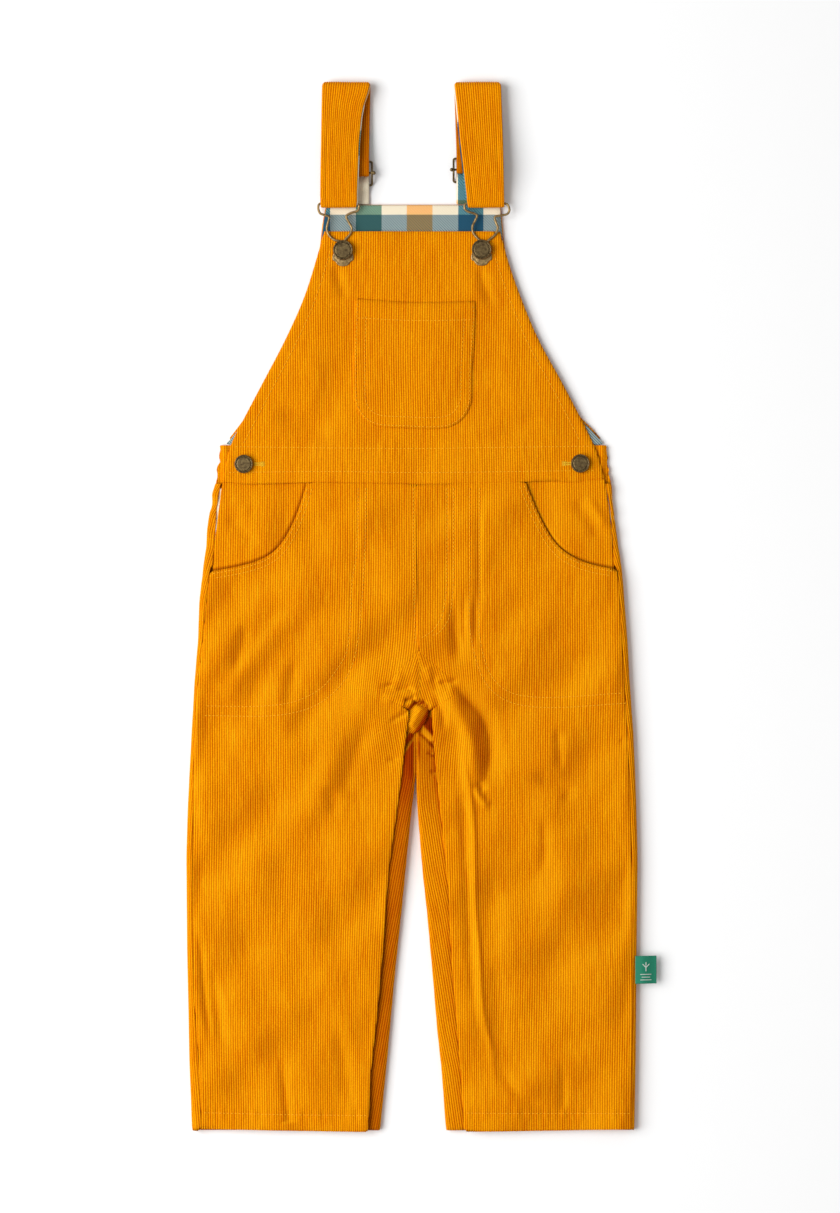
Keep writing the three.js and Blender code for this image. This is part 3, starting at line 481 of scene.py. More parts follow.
def noiseOf(tree, vector, scale, detail=2.0, rough=0.5):
    node = tree.nodes.new("ShaderNodeTexNoise")
    node.inputs["Scale"].default_value = scale
    node.inputs["Detail"].default_value = detail
    node.inputs["Roughness"].default_value = rough
    tree.links.new(vector, node.inputs["Vector"])
    return node.outputs["Fac"]


def scaled(tree, vector, x, y, z=1.0):
    node = tree.nodes.new("ShaderNodeVectorMath")
    node.operation = "MULTIPLY"
    node.inputs[1].default_value = (x, y, z)
    tree.links.new(vector, node.inputs[0])
    return node.outputs[0]


def spreadTo(tree, value, fromLow, fromHigh, low, high):
    node = tree.nodes.new("ShaderNodeMapRange")
    for k, number in enumerate((fromLow, fromHigh, low, high)):
        node.inputs[k + 1].default_value = number
    tree.links.new(value, node.inputs[0])
    return node.outputs[0]


def setInputs(shader, values):
    for name, value in values.items():
        shader.inputs[name].default_value = value


def addBump(tree, shader, height, strength, distance):
    bump = addNode(tree, "ShaderNodeBump")
    setInputs(bump, {"Strength": strength, "Distance": distance})
    tree.links.new(height, bump.inputs["Height"])
    tree.links.new(bump.outputs[0], shader.inputs["Normal"])


corduroyLook = {
    "ridge": (1.0, 0.432, 0.0012),
    # the valley colour is painted shade in the valleys between the ribs
    "valleyShade": (0.60, 0.115, 0.0004),
    # lighter streaks along single ribs, and painted highlight on slopes facing the light
    "wornAndHighlight": (1.0, 0.52, 0.006),
    "deep": (0.93, 0.80, 0.8),
    # painted shade on slopes facing away, in hollows, under edges and on the back of straps
    "pressed": (0.42, 0.12, 0.06),
    "sheen": 0.06,
    "sheenTint": (1.0, 0.6, 0.05),
    "specularTint": (1.0, 0.6, 0.06),
}


def makeCorduroy(name, look):
    material, tree, shader = nodeTree(name)
    grain = addNode(tree, "ShaderNodeUVMap", uv_map="grain").outputs[0]
    place = addNode(tree, "ShaderNodeTexCoord").outputs["Object"]
    parts = addNode(tree, "ShaderNodeSeparateXYZ")
    tree.links.new(grain, parts.inputs[0])
    turns = math2(tree, "MULTIPLY", parts.outputs[0], 1 / (cord["wale"] * mm))
    phase = math2(tree, "FRACT", turns)
    fromTop = math2(tree, "ABSOLUTE", math2(tree, "SUBTRACT", phase, 0.5))
    # painted shade: darker and redder in the valleys between the ribs
    valleyShade = spreadTo(tree, fromTop, 0.17, 0.46, 0.0, 1.0)
    base = mixColour(tree, "MIX", valleyShade, look["ridge"], look["valleyShade"])
    # broad patches where the pile lies another way, then streaks that run along single ribs
    patches = noiseOf(tree, scaled(tree, place, 1.0, 0.5), 30.0, 3.0, 0.6)
    base = mixColour(tree, "MULTIPLY", spreadTo(tree, patches, 0.38, 0.7, 0.0, 0.6), base, look["deep"])
    streaks = noiseOf(tree, scaled(tree, grain, 1.0, 0.05), 1100.0, 2.0, 0.6)
    base = mixColour(tree, "MIX", spreadTo(tree, streaks, 0.5, 0.78, 0.0, 0.55), base, look["wornAndHighlight"])
    darker = noiseOf(tree, scaled(tree, grain, 1.0, 0.07), 520.0, 3.0, 0.65)
    base = mixColour(tree, "MULTIPLY", spreadTo(tree, darker, 0.46, 0.72, 0.0, 0.75), base, (0.84, 0.64, 0.6))
    # small tufts of pile, one after another along each rib, and the fibres in them
    tufts = noiseOf(tree, scaled(tree, grain, 0.55, 1.0), 1150.0, 2.0, 0.6)
    base = mixColour(tree, "MULTIPLY", spreadTo(tree, tufts, 0.42, 0.66, 0.7, 0.0), base, (0.80, 0.62, 0.5))
    fibres = noiseOf(tree, scaled(tree, grain, 1.0, 0.4), 5200.0, 3.0, 0.7)
    base = mixColour(tree, "MULTIPLY", spreadTo(tree, fibres, 0.35, 0.75, 0.35, 0.0), base, (0.72, 0.6, 0.5))
    # painted shade from the first channel, painted highlight from the second
    pressed = addNode(tree, "ShaderNodeSeparateXYZ")
    tree.links.new(addNode(tree, "ShaderNodeUVMap", uv_map="pressed").outputs[0], pressed.inputs[0])
    base = mixColour(tree, "MULTIPLY", pressed.outputs[0], base, look["pressed"])
    base = mixColour(tree, "MIX", math2(tree, "MULTIPLY", pressed.outputs[1], 0.5), base, look["wornAndHighlight"])
    tree.links.new(base, shader.inputs["Base Color"])
    setInputs(shader, {
        "Roughness": 0.9,
        "Specular IOR Level": 0.12,
        "Specular Tint": (*look["specularTint"], 1),
        "Sheen Weight": look["sheen"],
        "Sheen Roughness": 0.4,
        "Sheen Tint": (*look["sheenTint"], 1),
    })
    addBump(tree, shader, math2(tree, "ADD", fibres, tufts), 0.5, 0.0005)
    return material


flannelLook = {
    "band": 19.45,  # width of one colour band
    "cream": (0.84, 0.74, 0.55),
    "green": (0.03, 0.115, 0.075),
    "orange": (0.88, 0.30, 0.05),
    "blue": (0.006, 0.07, 0.13),
    "weftBlue": (0.03, 0.078, 0.13),
    "warp": ["cream", "green", "cream", "orange", "cream", "blue"],
    "weft": ["cream", "orange", "cream", "green", "weftBlue", "cream", "cream", "green"],
    "twill": 2.1,
}


# A ramp of equal bands that repeats
def bandRamp(tree, value, colours):
    ramp = tree.nodes.new("ShaderNodeValToRGB")
    ramp.color_ramp.interpolation = "CONSTANT"
    points = ramp.color_ramp.elements
    for k, colour in enumerate(colours):
        point = points[k] if k < 2 else points.new(k / len(colours))
        point.position = k / len(colours)
        point.color = (*colour, 1)
    tree.links.new(value, ramp.inputs[0])
    return ramp.outputs[0]


def toPower(tree, colour, power):
    node = tree.nodes.new("ShaderNodeGamma")
    node.inputs[1].default_value = power
    tree.links.new(colour, node.inputs[0])
    return node.outputs[0]


def makeFlannel(name, look):
    material, tree, shader = nodeTree(name)
    grain = addNode(tree, "ShaderNodeUVMap", uv_map="grain").outputs[0]
    parts = addNode(tree, "ShaderNodeSeparateXYZ")
    tree.links.new(grain, parts.inputs[0])
    wobble = math2(tree, "MULTIPLY", math2(tree, "SUBTRACT", noiseOf(tree, grain, 900.0, 1.0), 0.5), 0.0006)
    yarns = []
    for k, bands in enumerate((look["warp"], look["weft"])):
        shifted = math2(tree, "ADD", parts.outputs[k], wobble)
        turns = math2(tree, "MULTIPLY", shifted, 1 / (len(bands) * look["band"] * mm))
        yarns.append(bandRamp(tree, math2(tree, "FRACT", turns), [look[band] for band in bands]))
    warp, weft = yarns
    diagonal = math2(tree, "ADD", parts.outputs[0], parts.outputs[1])
    twill = math2(tree, "SINE", math2(tree, "MULTIPLY", diagonal, 2 * math.pi / (look["twill"] * mm)))
    over = spreadTo(tree, twill, -0.6, 0.6, 0.0, 1.0)
    mostlyWarp = mixColour(tree, "MULTIPLY", 1.0, toPower(tree, warp, 0.75), toPower(tree, weft, 0.25))
    mostlyWeft = mixColour(tree, "MULTIPLY", 1.0, toPower(tree, warp, 0.35), toPower(tree, weft, 0.65))
    base = mixColour(tree, "MIX", over, mostlyWeft, mostlyWarp)
    fuzz = noiseOf(tree, grain, 2600.0, 3.0, 0.7)
    base = mixColour(tree, "MULTIPLY", spreadTo(tree, fuzz, 0.3, 0.8, 0.25, 0.0), base, (0.7, 0.7, 0.7))
    tree.links.new(base, shader.inputs["Base Color"])
    setInputs(shader, {"Roughness": 0.92, "Specular IOR Level": 0.12, "Sheen Weight": 0.15})
    addBump(tree, shader, math2(tree, "ADD", over, fuzz), 0.4, 0.0002)
    return material


def makeBrass(name, bright, dark, rough):
    material, tree, shader = nodeTree(name)
    place = addNode(tree, "ShaderNodeTexCoord").outputs["Object"]
    tarnish = noiseOf(tree, place, 420.0, 4.0, 0.65)
    grit = noiseOf(tree, place, 2600.0, 2.0, 0.6)
    base = mixColour(tree, "MIX", spreadTo(tree, tarnish, 0.38, 0.66, 0.0, 1.0), bright, dark)
    tree.links.new(base, shader.inputs["Base Color"])
    tree.links.new(spreadTo(tree, grit, 0.3, 0.7, rough - 0.08, rough + 0.16), shader.inputs["Roughness"])
    shader.inputs["Metallic"].default_value = 0.88
    addBump(tree, shader, grit, 0.25, 0.0002)
    return material


def makeThread(name, colour):
    material, tree, shader = nodeTree(name)
    place = addNode(tree, "ShaderNodeTexCoord").outputs["Object"]
    twist = noiseOf(tree, place, 3000.0, 2.0, 0.6)
    darker = tuple(0.62 * c for c in colour)
    base = mixColour(tree, "MIX", spreadTo(tree, twist, 0.35, 0.7, 0.0, 0.7), colour, darker)
    tree.links.new(base, shader.inputs["Base Color"])
    setInputs(shader, {"Roughness": 0.7, "Specular IOR Level": 0.25})
    addBump(tree, shader, twist, 0.3, 0.0001)
    return material


def makeLabelWeave(name, colour):
    material, tree, shader = nodeTree(name)
    grain = addNode(tree, "ShaderNodeUVMap", uv_map="grain").outputs[0]
    parts = addNode(tree, "ShaderNodeSeparateXYZ")
    tree.links.new(grain, parts.inputs[0])
    ribs = math2(tree, "SINE", math2(tree, "MULTIPLY", parts.outputs[1], 2 * math.pi / (0.5 * mm)))
    cloudy = noiseOf(tree, grain, 700.0, 2.0)
    darker, lighter = tuple(0.6 * c for c in colour), tuple(1.3 * c for c in colour)
    base = mixColour(tree, "MIX", spreadTo(tree, ribs, -1, 1, 0.0, 0.35), colour, darker)
    base = mixColour(tree, "MIX", spreadTo(tree, cloudy, 0.4, 0.7, 0.0, 0.3), base, lighter)
    tree.links.new(base, shader.inputs["Base Color"])
    shader.inputs["Roughness"].default_value = 0.6
    addBump(tree, shader, ribs, 0.3, 0.0001)
    return material


materials["corduroy"] = makeCorduroy("mustardCorduroy", corduroyLook)
materials["flannel"] = makeFlannel("checkedFlannel", flannelLook)
materials["agedBrass"] = makeBrass("agedBrass", (0.20, 0.14, 0.06), (0.075, 0.046, 0.02), 0.38)
materials["hookBrass"] = makeBrass("hookBrass", (0.40, 0.27, 0.115), (0.17, 0.11, 0.045), 0.42)
materials["thread"] = makeThread("mustardThread", (1.0, 0.47, 0.006))
materials["bartack"] = makeThread("brightThread", (1.0, 0.60, 0.02))
materials["labelWeave"] = makeLabelWeave("labelGround", (0.003, 0.20, 0.11))
materials["labelThread"] = makeThread("labelMotif", (0.75, 0.78, 0.72))
print("finishes ready")

# Shared lines of the cut, as tables of (y, x) rows
leftSide = easedTable([
    (99, -152), (93, -153), (86, -155.4), (78, -155), (70, -157.6), (58, -159.2), (44, -159.9), (34, -161.6),
    (24, -162.6), (5, -164.9), (-25, -165.9), (-56, -168.5),
    (-100, -171), (-150, -173.6), (-190, -174.8), (-260, -174.2), (-345, -172.5), (-400, -170.4),
], 4)
rightSide = easedTable([
    (99, 148.6), (93, 149), (78, 150), (50, 153.5), (27, 157), (5, 158.6), (-25, 161), (-56, 162.6),
    (-100, 165.7), (-150, 167.7), (-190, 168.7), (-260, 168), (-345, 167.2), (-400, 166.2),
])
leftSideSeam = easedTable([
    (30, -156.4), (12, -158.3), (-20, -161.5), (-71, -167.2), (-130, -169.2), (-200, -169.8), (-294, -169.1),
    (-349, -164.9), (-400, -163),
])
rightSideSeam = easedTable([
    (30, 153), (12, 154.6), (-10, 155.8), (-71, 159.3), (-130, 162.4), (-200, 164.3), (-284, 165.4),
    (-400, 164.6),
])
leftInner = easedTable([
    (-90, -0.05), (-128, -0.05), (-157, -3.4), (-190, -6.8), (-229, -10.6), (-284, -16.4), (-339, -21.3),
    (-400, -27.4),
], 8)
rightInner = easedTable([
    (-90, 0.05), (-128, 0.05), (-152, 0.8), (-202, 4.9), (-234, 8.4), (-284, 12.9), (-322, 16), (-354, 19.5),
    (-400, 22.8),
], 8)
leftInseam = easedTable([
    (-80, -5.2), (-92, -6.8), (-107, -8.6), (-128, -10.8), (-157, -14.8), (-202, -21), (-266, -25.6),
    (-307, -29.2), (-356, -34.6), (-400, -36.4),
], 8)
rightInseam = easedTable([
    (-79, 11.9), (-92, 12.7), (-128, 15.6), (-181, 21.4), (-218, 24.8), (-269, 27), (-299, 29.6),
    (-356, 34.2),
    (-400, 37),
], 8)
leftScoop = [
    (-156.2, 26.6), (-135.3, 30.4), (-120.8, 34.6), (-111.7, 39.1), (-103.4, 46.4), (-95, 60), (-88.5, 75.6),
    (-83.3, 92.6),
]
rightScoop = [
    (83.3, 94.4), (88.9, 80.2), (96.1, 64.2), (105.4, 49), (114, 40.8), (125, 34.8), (138, 30.8),
    (152.8, 28.2),
]
seams = {"side": 0.12, "tuck": 0.35}  # open line at a side seam, and how far sewn edges run under each other


def downTable(table, high, low, shift=0.0, step=6.0):
    y = np.linspace(high, low, max(2, int((high - low) / step)))
    return np.stack([table(y) + shift, y], axis=1)


# Face of the front legs before folds: rounded off at the sides, a little lower at the waist
def legFace(x, y):
    side = np.where(x < 0, x - leftSide(y), rightSide(y) - x)
    radius = lay["legHeight"] / 2
    inset = np.clip(side, 0.4, radius)
    rounded = radius + np.sqrt(radius ** 2 - (radius - inset) ** 2)
    return rounded - softStep(40, lay["waistSeam"], y) * (lay["legHeight"] - lay["waistTop"])


frontFolds = {
    "left": [
        {"line": [(-158, -70), (-128, -30), (-92, 12)], "reach": 9, "height": -1.3, "lean": 0.2},
        {"line": [(-140, -95), (-112, -52), (-80, -10), (-66, 10)], "reach": 10, "height": -1.2, "lean": 0.2},
        {"line": [(-105, -120), (-76, -78), (-48, -45), (-22, -22)], "reach": 10, "height": -1.1},
        {"line": [(-120, -70), (-100, -40), (-84, -10)], "reach": 8, "height": 0.9},
        {"line": [(-88, -180), (-66, -120), (-46, -80), (-28, -50)], "reach": 11, "height": 1.2},
        {"line": [(-60, -150), (-44, -108), (-30, -84)], "reach": 7, "height": -1.0},
        {"line": [(-30, -62), (-18, -59.5), (-6, -62), (0, -66)], "reach": 1.8, "height": -1.3,
         "fade": (0.4, 0.1)},
        {"line": [(-22, -89), (-13, -84), (-6, -80)], "reach": 1.5, "height": -1.2, "fade": (0.5, 0.0)},
        {"line": [(-28, -70), (-16, -70.5), (-9, -74)], "reach": 4, "height": 1.2, "fade": (0.4, 0.0)},
        {"line": [(-156, -272), (-150, -312), (-146, -340)], "reach": 5, "height": -1.2, "fade": (0.5, 0.2)},
        {"line": [(-166, -242), (-161, -290), (-156, -336)], "reach": 3, "height": -1.0},
        {"line": [(-102, -338), (-99, -370), (-97, -392)], "reach": 4, "height": -1.1, "fade": (0.5, 0.0)},
        {"line": [(-62, -310), (-54, -350), (-50, -384)], "reach": 6, "height": -0.8},
        {"line": [(-128, -10), (-134, -34), (-138, -53)], "reach": 5, "height": -0.9},
        {"line": [(-92, -38), (-95, -60), (-98, -82)], "reach": 5, "height": -0.9},
        {"line": [(-66, -134), (-63, -150), (-63, -162)], "reach": 5, "height": -0.9},
        {"line": [(-24, -119), (-16, -116), (-12, -114)], "reach": 1.6, "height": -0.6},
        {"line": [(-40, 88), (-41, 50), (-42, 20)], "reach": 5, "height": 0.5, "fade": (0.1, 0.4)},
    ],
    "right": [
        {"line": [(21, -46), (37, -68), (50, -82.5), (56, -100), (56, -119), (52, -140)], "reach": 5.2,
         "height": -1.9, "lean": 0.35, "fade": (0.2, 0.2)},
        {"line": [(15, -52), (27, -72), (38, -90), (43, -110), (44, -130), (41, -146)], "reach": 6.5,
         "height": 2.4,
         "fade": (0.25, 0.3)},
        {"line": [(30, 10), (30, -20), (34, -46)], "reach": 5, "height": -1.8, "fade": (0.4, 0.3)},
        {"line": [(36.5, 14), (36.5, -12), (37, -34)], "reach": 2, "height": -0.6, "fade": (0.4, 0.4)},
        {"line": [(45.3, 14), (45.3, -12), (46, -34)], "reach": 2, "height": -0.65, "fade": (0.4, 0.4)},
        {"line": [(41, 14), (41, -12), (42, -34)], "reach": 2.2, "height": 0.6, "fade": (0.4, 0.4)},
        {"line": [(44, -136), (48, -144), (53, -150), (56.5, -146)], "reach": 2.6, "height": 1.6,
         "fade": (0.3, 0.2)},
        {"line": [(47, -132), (52, -141)], "reach": 3, "height": -1.4},
        {"line": [(16, -57), (24, -58.5), (33, -56)], "reach": 1.8, "height": -1.3},
        {"line": [(14, -66), (20, -80), (22, -96)], "reach": 3, "height": -1.0},
        {"line": [(48, 90), (48.2, 50), (48.4, 10), (49, -14)], "reach": 3.2, "height": -0.6, "lean": -0.3,
         "fade": (0.1, 0.3)},
        {"line": [(36, -76), (38, -126), (41, -140), (44, -170), (45, -223), (47.4, -254), (51, -308),
                  (58, -338),
                  (61.6, -385)], "reach": 3.0, "height": 1.2, "lean": -0.3, "fade": (0.1, 0.03)},
        {"line": [(30, -110), (36, -150), (39, -200), (42, -260), (46, -310), (52, -345)], "reach": 4.5,
         "height": -1.0, "fade": (0.2, 0.2)},
        {"line": [(56, -170), (58, -230), (62, -300), (70, -370)], "reach": 8, "height": -0.9,
         "fade": (0.2, 0.1)},
        {"line": [(111, -342), (112, -372), (111, -388)], "reach": 3.4, "height": -0.9, "fade": (0.5, 0.1)},
        {"line": [(90, -123), (98, -133), (115.5, -140), (115.5, -155)], "reach": 5, "height": -1.0},
        {"line": [(108, -90), (109, -112), (110, -126)], "reach": 3.4, "height": -1.0},
        {"line": [(97, -156), (98, -180), (97, -206)], "reach": 4, "height": -0.8},
        {"line": [(62, -348), (77, -371), (100, -380)], "reach": 4, "height": -0.8},
        {"line": [(155, -100), (161, -106)], "reach": 2.5, "height": -0.7},
        {"line": [(92, -140), (110, -190), (104, -250)], "reach": 13, "height": 0.8},
    ],
}


def legHeightAt(hand):
    seed, slant = (3, 0.95) if hand == "left" else (5, 0.35)

    def height(x, y):
        side = np.where(x < 0, x - leftSide(y), rightSide(y) - x)
        calm = softStep(1, 12, side) * (1 - 0.7 * softStep(70, 95, y))
        folds = foldHeight(x, y, frontFolds[hand], lay["foldGain"], lay["softEnds"])
        folds += handling(x, y, seed, 0.4, slant)
        return np.maximum(legFace(x, y) + calm * folds, lay["legFloor"])

    return height


legHeights = {hand: legHeightAt(hand) for hand in ("left", "right")}

# Broad patches of painted shade: middle, reach both ways, how dark
pressedPatches = {
    "left": [((-96, -52), (9, 30), 0.05), ((-120, -30), (10, 26), 0.05), ((-60, -118), (9, 22), 0.04),
             ((-12, 40), (9, 40), 0.04), ((-16, -62), (9, 5), 0.08)],
    "right": [((10, 42), (9, 46), 0.12), ((31, -29), (7, 34), 0.16), ((38, -70), (6, 9), 0.26),
              ((47, -92), (6, 13), 0.34), ((50, -117), (6, 18), 0.34), ((24, -58), (8, 10), 0.08),
              ((20, -86), (8, 18), 0.07), ((60, -8), (10, 50), 0.03), ((98, -130), (14, 10), 0.05)],
}


def legPaintedShade(hand):
    def dark(x, y):
        amount = np.zeros(x.shape)
        for (spotX, spotY), (wide, tall), depth in pressedPatches[hand]:
            amount += depth * np.exp(-((x - spotX) / wide) ** 2 - ((y - spotY) / tall) ** 2)
        return amount

    return dark


# Stitch rows of the front, each a line of points; depth is how far the thread draws the cloth in
bagRows = {
    "left": [
        [(-44, 91), (-44.4, 60), (-46, 34), (-48.3, 22), (-50, -8), (-53, -35), (-62, -50.5), (-72, -62),
         (-91, -71.8), (-116, -75.6), (-160, -75.6)],
        [(-38, 91), (-38.4, 60), (-39.5, 30), (-41.5, 0), (-44.5, -28), (-50, -48), (-60, -63), (-78, -76),
         (-104, -82.5), (-161, -83)],
    ],
    "right": [
        [(48.4, 91), (48.2, 60), (48.4, 35), (47.9, 0), (48, -20), (54, -46), (61.2, -57.8), (73, -65.7),
         (96, -69), (158, -65.7)],
        [(40.8, 91), (40.8, 60), (41, 30), (40.4, -2), (42, -24), (47, -45), (55, -61), (70, -72),
         (95, -76.6), (160, -73.5)],
    ],
}
flyRows = [
    [(23.6, 91), (23.6, 40), (23, 14), (20, -6), (13, -18), (4, -24)],
    [(28.6, 91), (28.6, 40), (28, 12), (24.6, -10), (17, -20), (10, -22.6)],
]


def moved(points, dx, dy):
    return [(x + dx, y + dy) for x, y in points]


legRows = {
    "left": [
        {"line": bagRows["left"][0], "depth": 0.3, "pucker": 0.05},
        {"line": bagRows["left"][1], "depth": 0.22, "pucker": 0.04},
        {"line": [(-162, -384.8), (-100, -386.2), (-37, -386.8)], "depth": 0.55, "pucker": 0.16},
        {"line": moved(leftScoop, 1.2, -1.7), "depth": 0.3, "pucker": 0.05},
        {"line": moved(leftScoop[:-1], 3.6, -4.9) + [(-78.6, 91)], "depth": 0.2, "pucker": 0.04},
        {"line": [(-1.9, 91), (-1.9, 40), (-1.4, 5), (-0.4, -30)], "depth": 0.25, "pucker": 0.05},
    ],
    "right": [
        {"line": bagRows["right"][0], "depth": 0.3, "pucker": 0.05},
        {"line": bagRows["right"][1], "depth": 0.22, "pucker": 0.04},
        {"line": flyRows[0], "depth": 0.35, "pucker": 0.08},
        {"line": flyRows[1], "depth": 0.3, "pucker": 0.08},
        {"line": [(38, -385), (100, -385.4), (163.5, -385.3)], "depth": 0.55, "pucker": 0.16},
        {"line": moved(rightScoop, -1.2, -1.7), "depth": 0.3, "pucker": 0.05},
        {"line": [(78.6, 92)] + moved(rightScoop[1:], -3.6, -4.9), "depth": 0.2, "pucker": 0.04},
    ],
}


def grooved(rows, step, gain=1.0):
    grooves = []
    for row in rows:
        sunk = {"depth": gain * row["depth"], "pucker": gain * row["pucker"]}
        grooves.append({"points": smoothLine(row["line"], step), **sunk})
    return grooves


def leftWarp(a, b):
    near = softStep(-80, -8, a)
    return near * (-7.0 * np.exp(-((b + 78) / 34) ** 2) - 5.0 * softStep(-120, -380, b))


def rightWarp(a, b):
    near = 1 - softStep(10, 78, a)
    return near * (6.0 * np.exp(-((b + 76) / 34) ** 2) + 3.0 * softStep(-120, -380, b))


gap, tuck = seams["side"], seams["tuck"]
sewnLines = [
    np.array([(-130, 93.6), (-76.8, 94.6), (-40, 93.8), (0, 92.8), (40, 94), (76.8, 95.4), (122, 96)], float),
    np.array([(0, 93), (0, 50), (0.6, 10), (1.4, -20), (2.6, -34)], float),
    np.array([(2.6, -34), (-12.3, -48.5), (-19.2, -56.7), (-25.9, -67.5), (-15, -73), (-7, -78)], float),
    np.array([(2.6, -34), (14.6, -44.3), (23.4, -52), (29.6, -67), (21, -72.6), (13, -78)], float),
]
leftLegOutline = np.vstack([
    smoothLine(leftScoop, 4),
    [(-76.8, 94.6), (-40, 93.8), (tuck, 92.8), (tuck, 50), (0.8, 10), (1.6, -20), (2.6, -34.2)],
    [(-12.2, -48.6), (-19.2, -56.8), (-25.9, -67.5), (-15, -73.2), (-6.0, -79.0)],
    downTable(leftInseam, -84, -396),
    [(-36.2, -399.4), (-90, -398.6), (-163, -397)],
    downTable(leftSideSeam, 22, -393, gap)[::-1],
])
rightLegOutline = np.vstack([
    [(2.4, -34.2), (1.2, -20), (0.4, 10), (-tuck, 50), (-tuck, 92.8), (40, 94), (76.8, 95.4)],
    smoothLine(rightScoop, 4),
    downTable(rightSideSeam, 22, -393, -gap),
    [(164.6, -397.2), (110, -398.4), (36.8, -399.2)],
    downTable(rightInseam, -84, -396)[::-1],
    [(12.0, -78.5), (21, -72.6), (29.8, -67.0), (23.5, -51.8), (14.6, -44.3)],
])
legGrooves = {hand: grooved(legRows[hand], 5, lay["grooveGain"]) for hand in ("left", "right")}
frontLeg = {
    "left": {"outline": leftLegOutline, "warp": leftWarp, "crotchRows": (-94, -40, 2.0)},
    "right": {"outline": rightLegOutline, "warp": rightWarp, "crotchRows": (-150, -36, 2.2)},
    "hemRows": (-392, -379, 1.2),
}
for hand in ("left", "right"):
    cordPanel(
        f"front_leg_{hand}_cord", f"front_leg_{hand}", frontLeg[hand]["outline"], legHeights[hand],
        lay["legWall"], frontLeg[hand]["warp"], legGrooves[hand], sewn=sewnLines, hollow=legPaintedShade(hand),
        fineRows=[frontLeg[hand]["crotchRows"], frontLeg["hemRows"]],
    )
print("front legs cut")

hipEdges = {
    "left": easedTable([(92.6, -147), (77.9, -149.7), (52.8, -152.8), (35.7, -154.4), (8, -154.6)], 6),
    "right": easedTable([(94.4, 143), (73.3, 147.2), (49.8, 149.5), (30, 150.6), (8, 151)], 6),
}
backLeg = {
    "left": {"sign": -1, "side": leftSide, "seam": leftSideSeam, "inner": leftInner, "inseam": leftInseam},
    "right": {"sign": 1, "side": rightSide, "seam": rightSideSeam, "inner": rightInner,
              "inseam": rightInseam},
    "middle": 84.0,  # where the straight grain runs down the back of a leg
    "top": 93.6,
    "hem": -398.6,
    "rollFrom": -74.0,
    "rollTo": -86.0,
    "rollRadius": 2.6,
    "seamZ": 4.4,  # top of the roll where it runs in under the front leg
    "underFront": 3.0,
    "wall": 1.25,
    "opening": {"left": 1.5, "right": 0.8},
    "swell": 0.45,  # the inner edges stand this much fuller below the crotch
    # painted shade in the crotch: all over, towards the crotch, beside the inseam, and spots, the negative
    # ones lighter
    "hollow": {
        "left": {
            "all": 0.03, "top": 0.38, "from": -180, "to": -110, "edge": 0.6, "reach": 2.0,
            "spots": [((1.0, -106), (2.2, 9), 0.7), ((-8, -99), (4, 3.4), -0.4), ((-9, -110), (6, 3), 0.4)],
        },
        "right": {
            "all": 0.0, "top": 0.4, "from": -185, "to": -108, "edge": 0.45, "reach": 2.2,
            "spots": [((9.5, -86), (5, 9), 0.9), ((9, -101), (5, 4), -0.2), ((1.5, -108), (1.6, 9), 0.8)],
        },
    },
    "folds": {
        "left": [
            {"line": [(-11, -109), (-4, -101.5), (2, -94)], "reach": 1.5, "height": -1.9, "fade": (0.0, 0.1)},
            {"line": [(-11, -103), (-5, -96.5), (1, -90)], "reach": 2.6, "height": 1.7, "fade": (0.0, 0.1)},
            {"line": [(-1.5, -98), (-1.5, -120), (-1.5, -134)], "reach": 2.0, "height": -1.3,
             "fade": (0.1, 0.3)},
        ],
        "right": [
            {"line": [(2.3, -95), (8, -100), (14.6, -106.5)], "reach": 1.3, "height": -1.7,
             "fade": (0.1, 0.0)},
            {"line": [(4, -89), (9, -94), (14.6, -101)], "reach": 2.6, "height": 1.9, "fade": (0.1, 0.0)},
            {"line": [(7, -111), (11, -112), (17, -115)], "reach": 1.1, "height": -1.1, "fade": (0.5, 0.0)},
            {"line": [(10, -124), (13, -126), (17, -126)], "reach": 1.1, "height": -0.9, "fade": (0.5, 0.0)},
            {"line": [(9, -104), (13, -104.5), (17, -103)], "reach": 0.9, "height": -1.0, "fade": (0.5, 0.0)},
        ],
    },
}


# Small waves of the side edge below the elastic
def elasticWave(x, y):
    return 0.5 * np.sin(y / 2.6 + 1.3 * np.sin(x / 5)) * softStep(20, 50, y)


def legSection(hand, y):
    cut = backLeg[hand]
    height = lay["hipHeight"] + (lay["legHeight"] - lay["hipHeight"]) * (1 - softStep(16, 36, y))
    radius = height / 2
    sideX = cut["side"](y) * cut["sign"]
    seamX = np.where(y > 30, hipEdges[hand](y), cut["seam"](y)) * cut["sign"] + gap
    seamX = seamX + backLeg["opening"][hand] * softStep(48, 80, y)  # the side opening, where the lining shows
    innerX = cut["inner"](y) * cut["sign"]
    inseamX = cut["inseam"](y) * cut["sign"]
    topWidth = np.maximum(inseamX + backLeg["underFront"] - innerX - backLeg["rollRadius"], 0.2)
    rolled = 1 - softStep(backLeg["rollTo"], backLeg["rollFrom"], y)
    return radius, sideX, seamX, innerX, topWidth, rolled


# How far the cloth reaches round each side, measured over its face from the middle of the back
def legReach(hand, y):
    radius, sideX, seamX, innerX, topWidth, rolled = legSection(hand, y)
    middle, turn = backLeg["middle"], backLeg["rollRadius"]
    edge = sideX - radius
    onArc = np.pi - np.arcsin(np.clip((seamX - edge) / radius, -1, 1))
    sideReach = edge - middle + np.where(seamX > edge, radius * onArc, radius * np.pi + edge - seamX)
    flat = middle - tuck
    round_ = middle - innerX - turn + turn * np.pi + topWidth
    return sideReach, flat + (round_ - flat) * rolled


